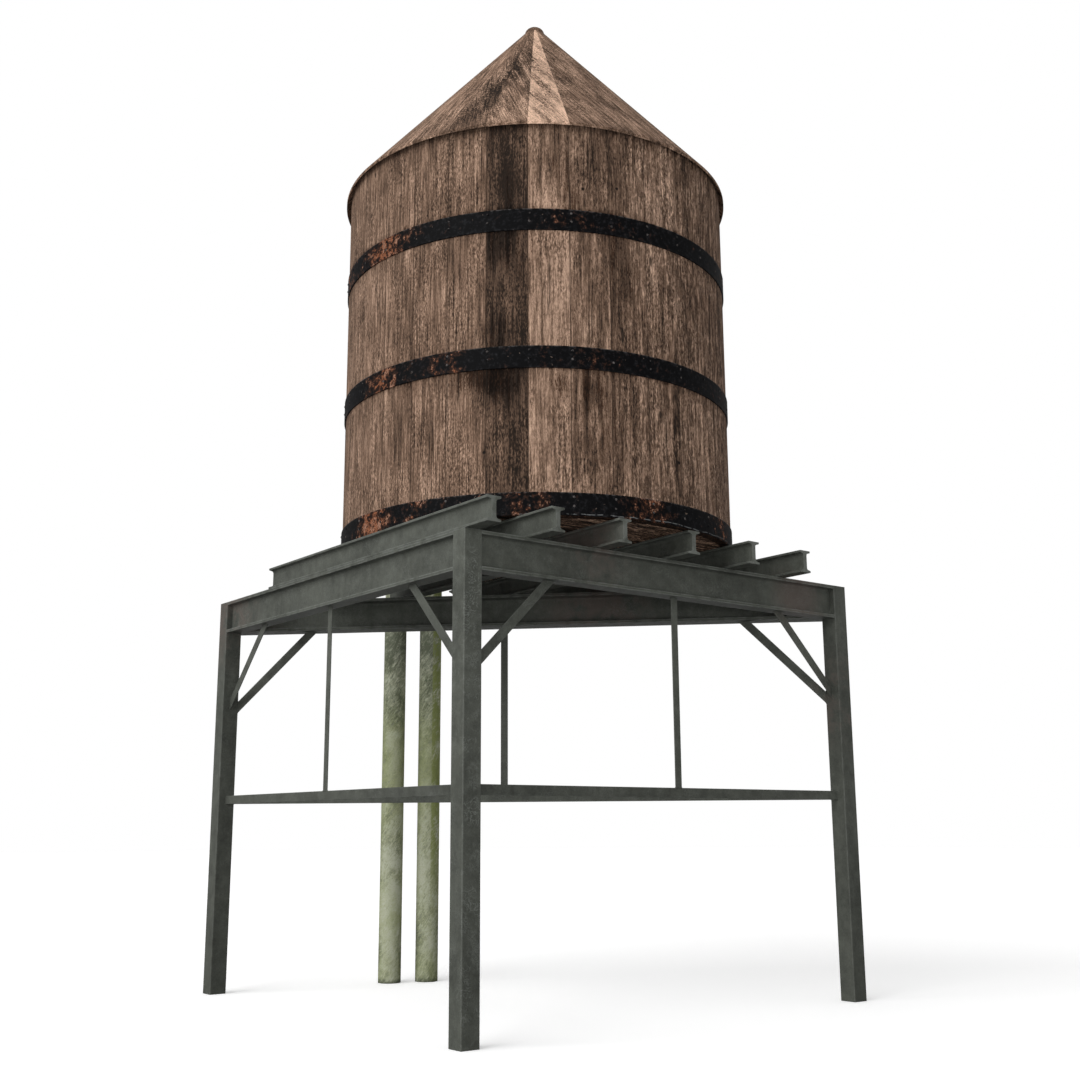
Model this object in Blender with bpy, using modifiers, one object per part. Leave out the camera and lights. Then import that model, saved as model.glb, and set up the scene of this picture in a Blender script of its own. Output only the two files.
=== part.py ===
"""Wooden water tower on a three-legged steel frame, in metres, +Z up.

Plan positions are measured from the outer corner of the front leg: "across" runs
from the front leg to the right leg (+X), "back" runs from it to the left leg (+Y).
"""
import math

import bmesh
import bpy
from mathutils import Matrix, Vector

GAP = 0.0003                # between pieces that touch
MERGE = 0.00001             # points closer than this are one point

# Steel frame
LEG = 0.166                 # side of a square leg
LEG_CHAMFER = 0.005
FRAME_SIDE = 4.48           # outer face to outer face, both square sides
BEAM_TOP = 3.842
BEAM_DEPTH = 0.317
BEAM_TIP = 0.030            # flange thickness at its edge
BEAM_ROOT = 0.040           # flange thickness at the web
BEAM_WEB = 0.046

# Joists that carry the tank
JOIST_WIDTH = 0.133
JOIST_DEPTH = 0.203
JOIST_TIP = 0.018
JOIST_ROOT = 0.028
JOIST_WEB = 0.040
JOIST_OVERHANG = 0.300      # past the outer face of the front right beam
JOIST_REACH = 3.385         # far end, measured back from the front
LONG_JOIST_REACH = 3.870    # the second joist runs on to the back beam
JOIST_LINES = (0.0665, 0.689, 1.391, 2.169, 2.903, 3.579)
LONG_JOIST = 2

# Flat bars
BAR = 0.080
BAR_THICKNESS = 0.010
HANGER_WIDTH = 0.070
BRACE_REACH = 0.720         # from a leg's face to the middle of a brace's top end
BACK_BRACE_REACH = 0.752
RAIL_TOP = 1.888
HANGER_PLACE = 2.272        # from the frame's outer corner
BACK_HANGER_PLACE = 2.858   # from the left leg's centre

# Tank
TANK_ACROSS = 1.856
TANK_BACK = 1.513
TANK_RADIUS = 1.830
STAVE = 0.066
FLOOR_THICKNESS = 0.050
TURN_STEPS = 64             # two to a stave
WALL_SEGMENTS = 8
HOOP_HEIGHT = 0.195
HOOP_THICKNESS = 0.012
HOOP_HEIGHTS = {"lower_hoop": 0.006, "middle_hoop": 1.272, "upper_hoop": 2.512}

# Roof
EAVE_RADIUS = 1.874
EAVE_BOTTOM = 7.530
ROOF_EDGE = 0.030           # upright edge of the roof boards
APEX = 9.711                # where the roof's slopes would meet
ROOF_QUARTERS = 4
ROOF_HOLE = 0.070
CAP_RADIUS = 0.099
CAP_TOP = 9.672
CAP_EDGE = 0.004
CAP_STEPS = 32
DOME_STEPS = 5

# Riser pipes
PIPE_RADIUS = 0.118
PIPE_BEND = 0.300
PIPE_INLET = 0.450          # centre line above the tank's underside
PIPE_PLACES = {"left_riser_pipe": (1.888, 4.108), "right_riser_pipe": (2.257, 3.974)}
BEND_STEPS = 8
PIPE_RESOLUTION = 6         # of the curve's round section

# Worked out from the above
BEAM_UNDER = BEAM_TOP - BEAM_DEPTH
JOIST_TOP = BEAM_TOP + GAP + JOIST_DEPTH
TANK_UNDER = JOIST_TOP + GAP
INNER_RADIUS = TANK_RADIUS - STAVE
ROOF_SLOPE = (APEX - EAVE_BOTTOM - ROOF_EDGE) / EAVE_RADIUS
LEG_CORNER = (LEG - LEG_CHAMFER) / math.sqrt(2)
SEAM = 2 * math.pi / TURN_STEPS
SPLIT = GAP / TANK_RADIUS
MIDDLE = Vector(((FRAME_SIDE + TANK_ACROSS - EAVE_RADIUS) / 2,
                 (FRAME_SIDE + TANK_BACK - EAVE_RADIUS) / 2, 0))


def place(across, back, height=0.0):
    """A point of the plan at a height, in the part's own frame."""
    return Vector((across, back, height)) - MIDDLE


def new_collection(name):
    collection = bpy.data.collections.new(name)
    bpy.context.scene.collection.children.link(collection)
    return collection


def new_material(name, colour, roughness, metallic):
    material = bpy.data.materials.new(name)
    material.use_nodes = True
    shader = material.node_tree.nodes["Principled BSDF"]
    shader.inputs["Base Color"].default_value = (*colour, 1)
    shader.inputs["Roughness"].default_value = roughness
    shader.inputs["Metallic"].default_value = metallic
    return material


def add_object(name, data, collection, material=None):
    thing = bpy.data.objects.new(name, data)
    collection.objects.link(thing)
    if material:
        data.materials.append(material)
    return thing


def outline_bar(name, outline, length, axes, centre, collection, material):
    """A flat outline drawn out along its normal; axes are its x, y and normal."""
    curve = bpy.data.curves.new(name, "CURVE")
    curve.dimensions = "2D"
    curve.fill_mode = "BOTH"
    curve.extrude = length / 2
    spline = curve.splines.new("POLY")
    spline.points.add(len(outline) - 1)
    for point, (x, y) in zip(spline.points, outline):
        point.co = (x, y, 0, 1)
    spline.use_cyclic_u = True
    bar = add_object(name, curve, collection, material)
    bar.matrix_world = Matrix.Translation(centre) @ Matrix(axes).transposed().to_4x4()
    return bar


def as_mesh(thing):
    """Turn a curve object into a mesh object with its caps welded."""
    bpy.context.view_layer.update()
    graph = bpy.context.evaluated_depsgraph_get()
    mesh = bpy.data.meshes.new_from_object(thing.evaluated_get(graph))
    shape = bmesh.new()
    shape.from_mesh(mesh)
    bmesh.ops.remove_doubles(shape, verts=shape.verts, dist=MERGE)
    bmesh.ops.recalc_face_normals(shape, faces=shape.faces)
    shape.to_mesh(mesh)
    shape.free()
    name = thing.name
    matrix = thing.matrix_world.copy()
    collection = thing.users_collection[0]
    bpy.data.objects.remove(thing)
    solid = add_object(name, mesh, collection)
    solid.matrix_world = matrix
    return solid


def cut(solid, cutter):
    cutter.hide_render = True
    cutter.display_type = "WIRE"
    modifier = solid.modifiers.new("cut by " + cutter.name, "BOOLEAN")
    modifier.operation = "DIFFERENCE"
    modifier.solver = "EXACT"
    modifier.object = cutter


def i_outline(width, depth, tip, root, web):
    """Half outline of an I-section from its foot up, mirrored to the other side."""
    fillet = (root - tip) + web / 4
    half = [(width / 2, 0), (width / 2, tip), (web / 2 + fillet, root),
            (web / 2, root + fillet), (web / 2, depth - root - fillet),
            (web / 2 + fillet, depth - root), (width / 2, depth - tip), (width / 2, depth)]
    return half + [(-x, y) for x, y in reversed(half)]


def chamfered_square(side, chamfer):
    half = side / 2
    short = half - chamfer
    corners = []
    for sx, sy in ((1, 1), (-1, 1), (-1, -1), (1, -1)):
        pair = [(sx * half, sy * short), (sx * short, sy * half)]
        corners += pair if sx * sy > 0 else pair[::-1]
    return corners


def level_axes(run):
    """Axes of a bar that runs level: sideways, up, and along the run."""
    up = Vector((0, 0, 1))
    return (up.cross(run), up, run)


def add_beam(name, start, end, outline, foot, collection, material):
    """An I-beam whose foot stands at a height, between two points of the plan."""
    run = (end - start).normalized()
    centre = (start + end) / 2
    centre.z = foot
    return outline_bar(name, outline, (end - start).length, level_axes(run), centre,
                       collection, material)


def add_flat(name, start, run, outline, collection, material):
    """A flat bar in an upright plane: outline is (distance along run, height)."""
    axes = (run, Vector((0, 0, 1)), run.cross(Vector((0, 0, 1))))
    return outline_bar(name, outline, BAR_THICKNESS, axes, start, collection, material)


def rectangle(left, right, bottom, top):
    return [(left, bottom), (right, bottom), (right, top), (left, top)]


def brace_outline(reach):
    """A bar at 45 degrees from a leg's face (0) up to the beam's underside."""
    edge = BAR / math.sqrt(2)
    top = BEAM_UNDER - GAP
    foot = BEAM_UNDER - reach
    return [(GAP, foot + GAP - edge), (reach + edge - GAP, top),
            (reach - edge - GAP, top), (GAP, foot + GAP + edge)]


def turned_sector(name, profile, start, sweep, steps, collection, material):
    """A closed profile (radius, height) swept part of a turn about the tank's axis."""
    shape = bmesh.new()
    turn = Matrix.Rotation(start, 3, "Z")
    verts = [shape.verts.new(turn @ Vector((radius, 0, height))) for radius, height in profile]
    shape.faces.new(verts)
    bmesh.ops.spin(shape, geom=shape.verts[:] + shape.edges[:] + shape.faces[:],
                   cent=(0, 0, 0), axis=(0, 0, 1), angle=sweep, steps=steps)
    bmesh.ops.recalc_face_normals(shape, faces=shape.faces)
    mesh = bpy.data.meshes.new(name)
    shape.to_mesh(mesh)
    shape.free()
    sector = add_object(name, mesh, collection, material)
    sector.location = place(TANK_ACROSS, TANK_BACK)
    return sector


def turned_ring(name, profile, closed, steps, collection, material):
    """A profile (radius, height) turned right round the tank's axis."""
    mesh = bpy.data.meshes.new(name)
    count = len(profile)
    edges = [(i, i + 1) for i in range(count - 1)]
    if closed:
        edges.append((count - 1, 0))
    mesh.from_pydata([(radius, 0, height) for radius, height in profile], edges, [])
    ring = add_object(name, mesh, collection, material)
    ring.location = place(TANK_ACROSS, TANK_BACK)
    screw = ring.modifiers.new("turn", "SCREW")
    screw.steps = steps
    screw.render_steps = steps
    screw.use_merge_vertices = True
    screw.merge_threshold = MERGE
    return ring


def add_legs(collection, steel):
    half = LEG / 2
    far = FRAME_SIDE - half
    for name, across, back in (("front_leg", half, half), ("left_leg", half, far),
                               ("right_leg", far, half)):
        axes = (Vector((1, 0, 0)), Vector((0, 1, 0)), Vector((0, 0, 1)))
        outline_bar(name, chamfered_square(LEG, LEG_CHAMFER), BEAM_TOP, axes,
                    place(across, back, BEAM_TOP / 2), collection, steel)


def box_cutter(name, size, centre, collection):
    mesh = bpy.data.meshes.new(name)
    shape = bmesh.new()
    bmesh.ops.create_cube(shape, size=1)
    bmesh.ops.scale(shape, vec=size, verts=shape.verts)
    shape.to_mesh(mesh)
    shape.free()
    cutter = add_object(name, mesh, collection)
    cutter.location = centre
    return cutter


def add_main_beams(collection, cutters, steel):
    half = LEG / 2
    near = LEG + GAP
    far = FRAME_SIDE - LEG - GAP
    outline = i_outline(LEG, BEAM_DEPTH, BEAM_TIP, BEAM_ROOT, BEAM_WEB)
    add_beam("front_left_beam", place(half, near), place(half, far), outline, BEAM_UNDER,
             collection, steel)
    add_beam("front_right_beam", place(near, half), place(far, half), outline, BEAM_UNDER,
             collection, steel)
    wide = i_outline(LEG * math.sqrt(2), BEAM_DEPTH, BEAM_TIP, BEAM_ROOT, BEAM_WEB)
    back_beam = as_mesh(add_beam("back_beam", place(half, FRAME_SIDE - half),
                                 place(FRAME_SIDE - half, half), wide, BEAM_UNDER,
                                 collection, steel))
    block = 2 * LEG
    face = LEG + GAP - block / 2
    length = 6 * LEG
    middle = BEAM_TOP - BEAM_DEPTH / 2
    cut(back_beam, box_cutter("left mitre", (block, length, 2 * BEAM_DEPTH),
                              place(face, FRAME_SIDE - half, middle), cutters))
    cut(back_beam, box_cutter("right mitre", (length, block, 2 * BEAM_DEPTH),
                              place(FRAME_SIDE - half, face, middle), cutters))


def add_joists(collection, steel):
    outline = i_outline(JOIST_WIDTH, JOIST_DEPTH, JOIST_TIP, JOIST_ROOT, JOIST_WEB)
    for number, across in enumerate(JOIST_LINES, 1):
        reach = LONG_JOIST_REACH if number == LONG_JOIST else JOIST_REACH
        add_beam(f"joist_{number}", place(across, -JOIST_OVERHANG), place(across, reach),
                 outline, BEAM_TOP + GAP, collection, steel)


def frame_sides():
    """Each side's name, the point where its first leg's face is, its run and its clear length."""
    half = LEG / 2
    left = place(half, FRAME_SIDE - half)
    right = place(FRAME_SIDE - half, half)
    slant = (right - left).normalized()
    clear = FRAME_SIDE - 2 * LEG
    return (("front_left", place(half, LEG), Vector((0, 1, 0)), clear),
            ("front_right", place(LEG, half), Vector((1, 0, 0)), clear),
            ("back", left + slant * LEG_CORNER, slant, (right - left).length - 2 * LEG_CORNER))


def add_bars(collection, steel):
    """Rails, hangers and braces, all flat bars in the planes of the frame's sides."""
    ends = {"front_left": ("front", "left"), "front_right": ("front", "right"),
            "back": ("left", "right")}
    for side, start, run, clear in frame_sides():
        add_flat(f"{side}_rail", start, run, rectangle(GAP, clear - GAP, RAIL_TOP - BAR, RAIL_TOP),
                 collection, steel)
        middle = HANGER_PLACE - LEG
        reach = BRACE_REACH
        if side == "back":
            middle = BACK_HANGER_PLACE - LEG_CORNER
            reach = BACK_BRACE_REACH
        outline = rectangle(middle - HANGER_WIDTH / 2, middle + HANGER_WIDTH / 2,
                            RAIL_TOP + GAP, BEAM_UNDER - GAP)
        add_flat(f"{side}_hanger", start, run, outline, collection, steel)
        first, last = ends[side]
        add_flat(f"{first}_leg_{side}_brace", start, run, brace_outline(reach),
                 collection, steel)
        add_flat(f"{last}_leg_{side}_brace", start + run * clear, -run, brace_outline(reach),
                 collection, steel)


def roof_height(radius):
    """Height of the roof's outer slope at a distance from the axis."""
    return APEX - radius * ROOF_SLOPE


def add_tank(collection, wood, iron):
    floor = bpy.data.meshes.new("tank_floor")
    shape = bmesh.new()
    bmesh.ops.create_cone(shape, cap_ends=True, segments=TURN_STEPS,
                          radius1=INNER_RADIUS - GAP, radius2=INNER_RADIUS - GAP,
                          depth=FLOOR_THICKNESS)
    shape.to_mesh(floor)
    shape.free()
    plate = add_object("tank_floor", floor, collection, wood)
    plate.location = place(TANK_ACROSS, TANK_BACK, TANK_UNDER + FLOOR_THICKNESS / 2)

    seat = ROOF_EDGE + 2 * GAP
    profile = [(INNER_RADIUS, TANK_UNDER), (TANK_RADIUS, TANK_UNDER),
               (TANK_RADIUS, roof_height(TANK_RADIUS) - seat),
               (INNER_RADIUS, roof_height(INNER_RADIUS) - seat)]
    sweep = 2 * math.pi / WALL_SEGMENTS
    for number in range(WALL_SEGMENTS):
        turned_sector(f"wall_segment_{number + 1}", profile, SEAM + number * sweep + SPLIT / 2,
                      sweep - SPLIT, TURN_STEPS // WALL_SEGMENTS, collection, wood)

    inner = TANK_RADIUS + GAP
    outer = inner + HOOP_THICKNESS
    for name, height in HOOP_HEIGHTS.items():
        foot = TANK_UNDER + height
        top = foot + HOOP_HEIGHT
        turned_ring(name, [(outer, top), (outer, foot), (inner, foot), (inner, top)],
                    True, TURN_STEPS, collection, iron)


def add_roof(collection, wood):
    profile = [(EAVE_RADIUS, EAVE_BOTTOM), (EAVE_RADIUS, EAVE_BOTTOM + ROOF_EDGE),
               (ROOF_HOLE, roof_height(ROOF_HOLE)),
               (ROOF_HOLE, roof_height(ROOF_HOLE) - ROOF_EDGE)]
    sweep = 2 * math.pi / ROOF_QUARTERS
    for number in range(ROOF_QUARTERS):
        turned_sector(f"roof_quarter_{number + 1}", profile, SEAM + number * sweep + SPLIT / 2,
                      sweep - SPLIT, TURN_STEPS // ROOF_QUARTERS, collection, wood)

    rim = roof_height(CAP_RADIUS) + 2 * GAP
    under = roof_height(ROOF_HOLE) + 2 * GAP
    dome = [(0, CAP_TOP)]
    rise = CAP_TOP - rim - CAP_EDGE
    for step in range(1, DOME_STEPS + 1):
        turn = step * math.pi / 2 / DOME_STEPS
        dome.append((CAP_RADIUS * math.sin(turn), rim + CAP_EDGE + rise * math.cos(turn)))
    turned_ring("roof_cap", dome + [(CAP_RADIUS, rim), (ROOF_HOLE, under), (0, under)],
                False, CAP_STEPS, collection, wood)


def add_pipes(collection, cutters, pipe_steel):
    """Risers that stand on the ground and bend over into the tank's wall."""
    axis = place(TANK_ACROSS, TANK_BACK)
    level = TANK_UNDER + PIPE_INLET
    for name, (across, back) in PIPE_PLACES.items():
        foot = place(across, back)
        inward = (axis - foot).normalized()
        path = [foot]
        for step in range(BEND_STEPS + 1):
            turn = step * math.pi / 2 / BEND_STEPS
            path.append(foot + inward * PIPE_BEND * (1 - math.cos(turn))
                        + Vector((0, 0, level - PIPE_BEND * (1 - math.sin(turn)))))
        path.append(axis - inward * (INNER_RADIUS - STAVE) + Vector((0, 0, level)))
        curve = bpy.data.curves.new(name, "CURVE")
        curve.dimensions = "3D"
        curve.bevel_depth = PIPE_RADIUS
        curve.bevel_resolution = PIPE_RESOLUTION
        curve.use_fill_caps = True
        spline = curve.splines.new("POLY")
        spline.points.add(len(path) - 1)
        for point, spot in zip(spline.points, path):
            point.co = (*spot, 1)
        pipe = as_mesh(add_object(name, curve, collection, pipe_steel))
        bore = bpy.data.meshes.new(name + " wall")
        shape = bmesh.new()
        bmesh.ops.create_cone(shape, cap_ends=True, segments=TURN_STEPS,
                              radius1=TANK_RADIUS + GAP, radius2=TANK_RADIUS + GAP,
                              depth=4 * PIPE_RADIUS)
        shape.to_mesh(bore)
        shape.free()
        cutter = add_object(name + " wall", bore, cutters)
        cutter.location = axis + Vector((0, 0, level))
        cut(pipe, cutter)


def main():
    for thing in list(bpy.data.objects):
        bpy.data.objects.remove(thing)
    tower = new_collection("water_tower")
    cutters = new_collection("cutters")
    steel = new_material("painted steel", (0.066, 0.070, 0.061), 0.6, 0.0)
    wood = new_material("weathered wood", (0.19, 0.125, 0.09), 0.9, 0.0)
    roof_wood = new_material("weathered roof boards", (0.20, 0.135, 0.10), 0.9, 0.0)
    iron = new_material("black iron", (0.012, 0.010, 0.010), 0.7, 0.0)
    pipe_steel = new_material("stained pipe", (0.36, 0.38, 0.28), 0.75, 0.0)
    add_legs(tower, steel)
    add_main_beams(tower, cutters, steel)
    add_joists(tower, steel)
    add_bars(tower, steel)
    add_tank(tower, wood, iron)
    add_roof(tower, roof_wood)
    add_pipes(tower, cutters, pipe_steel)


main()
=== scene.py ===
"""Water tower: wooden tank with iron hoops on a steel frame, dressed over its measured solids."""

import math

import bpy
import numpy as np
from bpy.props import FloatProperty, FloatVectorProperty, IntProperty, PointerProperty
from mathutils import Matrix, Vector


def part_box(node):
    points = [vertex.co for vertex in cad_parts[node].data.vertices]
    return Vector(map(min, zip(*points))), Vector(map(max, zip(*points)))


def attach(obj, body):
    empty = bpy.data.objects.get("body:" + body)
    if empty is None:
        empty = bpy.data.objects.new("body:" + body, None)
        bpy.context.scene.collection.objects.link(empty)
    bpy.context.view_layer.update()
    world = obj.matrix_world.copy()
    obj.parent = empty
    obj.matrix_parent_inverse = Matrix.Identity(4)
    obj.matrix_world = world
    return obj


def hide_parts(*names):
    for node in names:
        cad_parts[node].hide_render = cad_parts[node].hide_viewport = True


bl_info = {
    "name": "Water tower",
    "version": (1, 0, 0),
    "blender": (4, 5, 0),
    "location": "3D View > Sidebar > Water tower",
    "description": "Wooden water tank, iron hoops, steel frame and riser pipes",
    "category": "Add Mesh",
}

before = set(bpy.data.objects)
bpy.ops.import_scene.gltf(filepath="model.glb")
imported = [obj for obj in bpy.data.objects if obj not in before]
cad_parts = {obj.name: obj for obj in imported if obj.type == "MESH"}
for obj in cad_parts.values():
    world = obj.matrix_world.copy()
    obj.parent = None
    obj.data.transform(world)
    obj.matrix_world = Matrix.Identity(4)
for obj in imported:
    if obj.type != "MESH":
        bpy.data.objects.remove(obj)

GAP = 0.0003
TURN = 2 * math.pi
UP = np.array((0.0, 0.0, 1.0))
# How far the paint is rubbed off at a bar's long edges, flanges and ends, from 0 to 1.
EDGE_WEAR = 0.45
FLANGE_WEAR = 0.80
END_WEAR = 0.70
# Seeds of the boards' tones and grain; each wall segment and roof quarter adds its own number.
STAVE_TONES_SEED = 11
STAVE_GRAIN_SEED = 31
ROOF_TONES_SEED = 51
FLOOR_TONES_SEED = 5
FLOOR_GRAIN_SEED = 71
# Chamfer of the legs' upright edges, where the back rail meets them.
LEG_CHAMFER = 0.005


def corners_of(node):
    """Lowest and highest corner of a solid, as arrays."""
    low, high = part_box(node)
    return np.array(low), np.array(high)


def foot_of(node):
    """Middle of a solid's box, brought down to the ground."""
    low, high = corners_of(node)
    return (low + high) / 2 * (1, 1, 0)


FLOOR_LOW, FLOOR_HIGH = corners_of("tank_floor")
ROOF_LOW, ROOF_HIGH = corners_of("roof_quarter_1")
WALL_LOW, WALL_HIGH = corners_of("wall_segment_1")
HOOP_LOW, HOOP_HIGH = corners_of("middle_hoop")
AXIS = foot_of("tank_floor")
EAVE = max(ROOF_HIGH[0] - AXIS[0], ROOF_HIGH[1] - AXIS[1])
HOOP_RADIUS = (HOOP_HIGH[0] - HOOP_LOW[0]) / 2
HOOP_TALL = (corners_of("lower_hoop")[1] - corners_of("lower_hoop")[0])[2]
FLOOR_RADIUS = (FLOOR_HIGH[0] - FLOOR_LOW[0]) / 2
LEG = (corners_of("front_leg")[1] - corners_of("front_leg")[0])[0]
BEAM_UNDER = corners_of("front_left_beam")[0][2]


def metres(name, description, default):
    """A length that a user may change."""
    return FloatProperty(name=name, description=description, default=default, unit="LENGTH")


def degrees(name, description, default):
    """An angle that a user may change, given here in degrees."""
    return FloatProperty(name=name, description=description, default=math.radians(default),
                         subtype="ANGLE")


def swatch(name, description, default):
    """A colour that a user may change."""
    return FloatVectorProperty(name=name, description=description, default=default,
                               subtype="COLOR", min=0, max=1)


class WoodSettings(bpy.types.PropertyGroup):
    count: IntProperty(
        name="Boards", description="Staves round the tank, and boards round the roof", default=32, min=8)
    stave: metres("Stave", "Thickness of the tank's staves", 0.066)
    joint: metres("Joint", "Open width between two boards", 0.0008)
    ease: metres("Eased edge", "How far a board's long edges are worn back", 0.0025)
    pale_place: degrees("Pale board", "Where the palest stave and roof board stand, from +X", 236.25)
    dark_place: degrees("Dark stave", "Where the darkest stave stands, from +X", 225)
    roof_dark_place: degrees("Dark roof board", "Where the darkest roof board stands, from +X", 213.75)
    roof_lean: degrees("Roof grain's lean", "How far the grain of the boards near the pale one leans", 28)
    roof_hole: metres("Roof hole", "Radius at which the roof boards end below the tip", 0.070)
    roof_board: metres("Roof board", "Upright thickness of the roof boards", 0.030)
    plank: metres("Floor plank", "Width of the planks of the tank's floor", 0.145)
    pale: swatch("Pale wood", "Colour of dry pale grain", (0.46, 0.308, 0.222))
    middle: swatch("Middle wood", "Colour of most of the wood", (0.156, 0.097, 0.066))
    dark: swatch("Dark wood", "Colour of damp dark grain", (0.022, 0.014, 0.010))
    stain: swatch("Stain", "Colour of the iron stains", (0.012, 0.009, 0.007))


class HoopSettings(bpy.types.PropertyGroup):
    thickness: metres("Thickness", "Thickness of the hoops", 0.012)
    ease: metres("Rounded edge", "Rounding of a hoop's edges", 0.004)
    iron: swatch("Iron", "Colour of the blackened iron", (0.0018, 0.0018, 0.0022))
    joint: metres("Joint", "Length of the plate that joins a hoop's ends", 0.24)
    plate: metres("Joint plate", "Thickness of that plate", 0.010)
    rivet: metres("Rivet", "Radius of a rivet's head", 0.013)
    nail: metres("Nail", "Radius of a nail's head on the hoops", 0.011)
    nail_shift: metres("Nail's shift", "How far the nails stand beside the joint of two staves", 0.013)
    rust: swatch("Rust", "Colour of the bright rust", (0.215, 0.082, 0.042))


class SteelSettings(bpy.types.PropertyGroup):
    beam_tip: metres("Beam flange", "Main beams' flange at its edge", 0.030)
    beam_root: metres("Beam root", "Main beams' flange at the web", 0.040)
    beam_web: metres("Beam web", "Thickness of the main beams' web", 0.046)
    joist_tip: metres("Joist flange", "Joists' flange at its edge", 0.018)
    joist_root: metres("Joist root", "Joists' flange at the web", 0.028)
    joist_web: metres("Joist web", "Thickness of the joists' web", 0.040)
    bar: metres("Bar", "Width of the rails and braces", 0.080)
    bar_thickness: metres("Bar thickness", "Thickness of the flat bars", 0.010)
    hanger: metres("Hanger", "Width of the hangers", 0.070)
    weld: metres("Weld", "Radius of the weld beads at the flat bars' ends", 0.0045)
    paint: swatch("Paint", "Colour of the weathered paint", (0.064, 0.068, 0.058))
    worn: swatch("Worn edge", "Colour of rubbed edges and scratches", (0.17, 0.18, 0.165))
    bloom: swatch("Bloom", "Colour of the reddish bloom", (0.090, 0.066, 0.058))


class PipeSettings(bpy.types.PropertyGroup):
    radius: metres("Radius", "Outer radius of the riser pipes", 0.118)
    bend: metres("Bend", "Centre line radius of the bends", 0.300)
    inlet: metres("Inlet", "Centre line of the inlet above the tank's underside", 0.450)
    collar: metres("Collar", "Outer radius of the collars where the pipes enter the tank", 0.134)
    collar_thickness: metres("Collar thickness", "Thickness of the collars", 0.012)
    coat: swatch("Coat", "Colour of the coat", (0.43, 0.445, 0.335))
    pale: swatch("Pale coat", "Colour of the coat's palest marks", (0.57, 0.58, 0.49))
    moss: swatch("Moss", "Colour of the green growth", (0.20, 0.23, 0.070))
    grime: swatch("Grime", "Colour of the dark stains", (0.055, 0.065, 0.045))


class StageSettings(bpy.types.PropertyGroup):
    eye: FloatVectorProperty(
        name="Camera", description="Where the camera stands", default=(-7.8925, -10.3906, 1.56),
        subtype="TRANSLATION", unit="LENGTH")
    heading: degrees("Heading", "Camera's level direction, from +X", 52.486)
    tilt: degrees("Tilt", "Camera's tilt above level", 12.214)
    roll: degrees("Roll", "Camera's turn about its own line of sight", -0.272)
    lens: FloatProperty(
        name="Lens", description="Focal length on a 36 mm sensor, in millimetres", default=44.345)
    bounce: swatch("Bounce", "How the floor under the tower throws light up", (0.16, 0.16, 0.16))
    shade_reach: metres("Shade reach", "How far that darker part of the floor reaches", 4.5)
    sky: FloatProperty(
        name="Sky light", description="Strength of the even light from all round", default=0.46)
    key: FloatProperty(
        name="Key light", description="Strength of the soft sun from the left", default=2.75)
    fill: FloatProperty(
        name="Fill light", description="Power of the low wide light from the front", default=660.0,
        unit="POWER")
    floor: swatch("Floor", "Colour of the pale floor", (0.86, 0.86, 0.86))


def eased_outline(corners, ease, wear, support=0.010, steps=3):
    """Closed outline whose corners are rounded.

    Each corner C becomes a parabola (1-s)^2 A + 2s(1-s) C + s^2 B between points A and B set
    back along its two sides, with one more point beyond each, where the wear fades out.
    """
    corners = np.asarray(corners, float)
    ease = np.broadcast_to(ease, len(corners))[:, None]

    def set_back(neighbour, distance, share):
        """A point for each corner, on the way to a neighbour, at most a share of that side away."""
        way = np.roll(corners, neighbour, axis=0) - corners
        side = np.linalg.norm(way, axis=1, keepdims=True)
        return (corners + way / side * np.minimum(distance, share * side))[:, None]

    s = np.linspace(0, 1, steps + 1)[None, :, None]
    curve = ((1 - s) ** 2 * set_back(1, ease, 0.38) + 2 * s * (1 - s) * corners[:, None]
             + s ** 2 * set_back(-1, ease, 0.38))
    ends = [set_back(way, ease + support, 0.48) for way in (1, -1)]
    points = np.concatenate([ends[0], curve, ends[1]], axis=1).reshape(-1, 2)
    weights = np.zeros((len(corners), steps + 3))
    weights[:, 1:-1] = np.broadcast_to(wear, len(corners))[:, None]
    return points, weights.ravel()


def board_outline(outer, inner, thickness, ease, support=0.006, longest=0.030):
    """Closed outline of a board, its outer face left to right and its inner face back.

    A point d from the edge of a face is sunk by ease (1 - d / ease)^2 where d is under ease.
    Both faces have as many points, so a cap is a strip of faces between them.
    """
    edge = np.array((0.0, 0.3 * ease, ease, ease + support))
    middle = np.linspace(ease + support, outer / 2, int(outer / 2 // longest) + 2)[1:]
    away = np.concatenate([edge, middle, middle[-2::-1], edge[::-1]])
    sign = np.sign(np.arange(len(away)) - (len(away) - 1) / 2)
    x = sign * (outer / 2 - away)
    sunk = ease * np.clip(1 - away / ease, 0, 1) ** 2
    wear = np.clip((ease + support - away) / support, 0, 1)
    front = np.stack([x, sunk], axis=1)
    back = np.stack([x * inner / outer, thickness - sunk], axis=1)
    return np.concatenate([front, back[::-1]]), np.concatenate([wear, wear[::-1]])


def finer(outline, wear, longest):
    """The same closed outline with points added, so that no side is much over a length."""
    closed = np.vstack([outline, outline[:1]])
    along = np.concatenate([[0], np.cumsum(np.linalg.norm(np.diff(closed, axis=0), axis=1))])
    step = np.diff(along)
    extra = np.ceil(step / longest).astype(int)
    number = np.arange(extra.sum()) - np.repeat(np.cumsum(extra) - extra, extra)
    places = np.repeat(along[:-1], extra) + number * np.repeat(step / np.maximum(extra, 1), extra)
    x, y, weights = (np.interp(places, along, values)
                     for values in (*closed.T, np.append(wear, wear[0])))
    return np.stack([x, y], axis=1), weights


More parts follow.
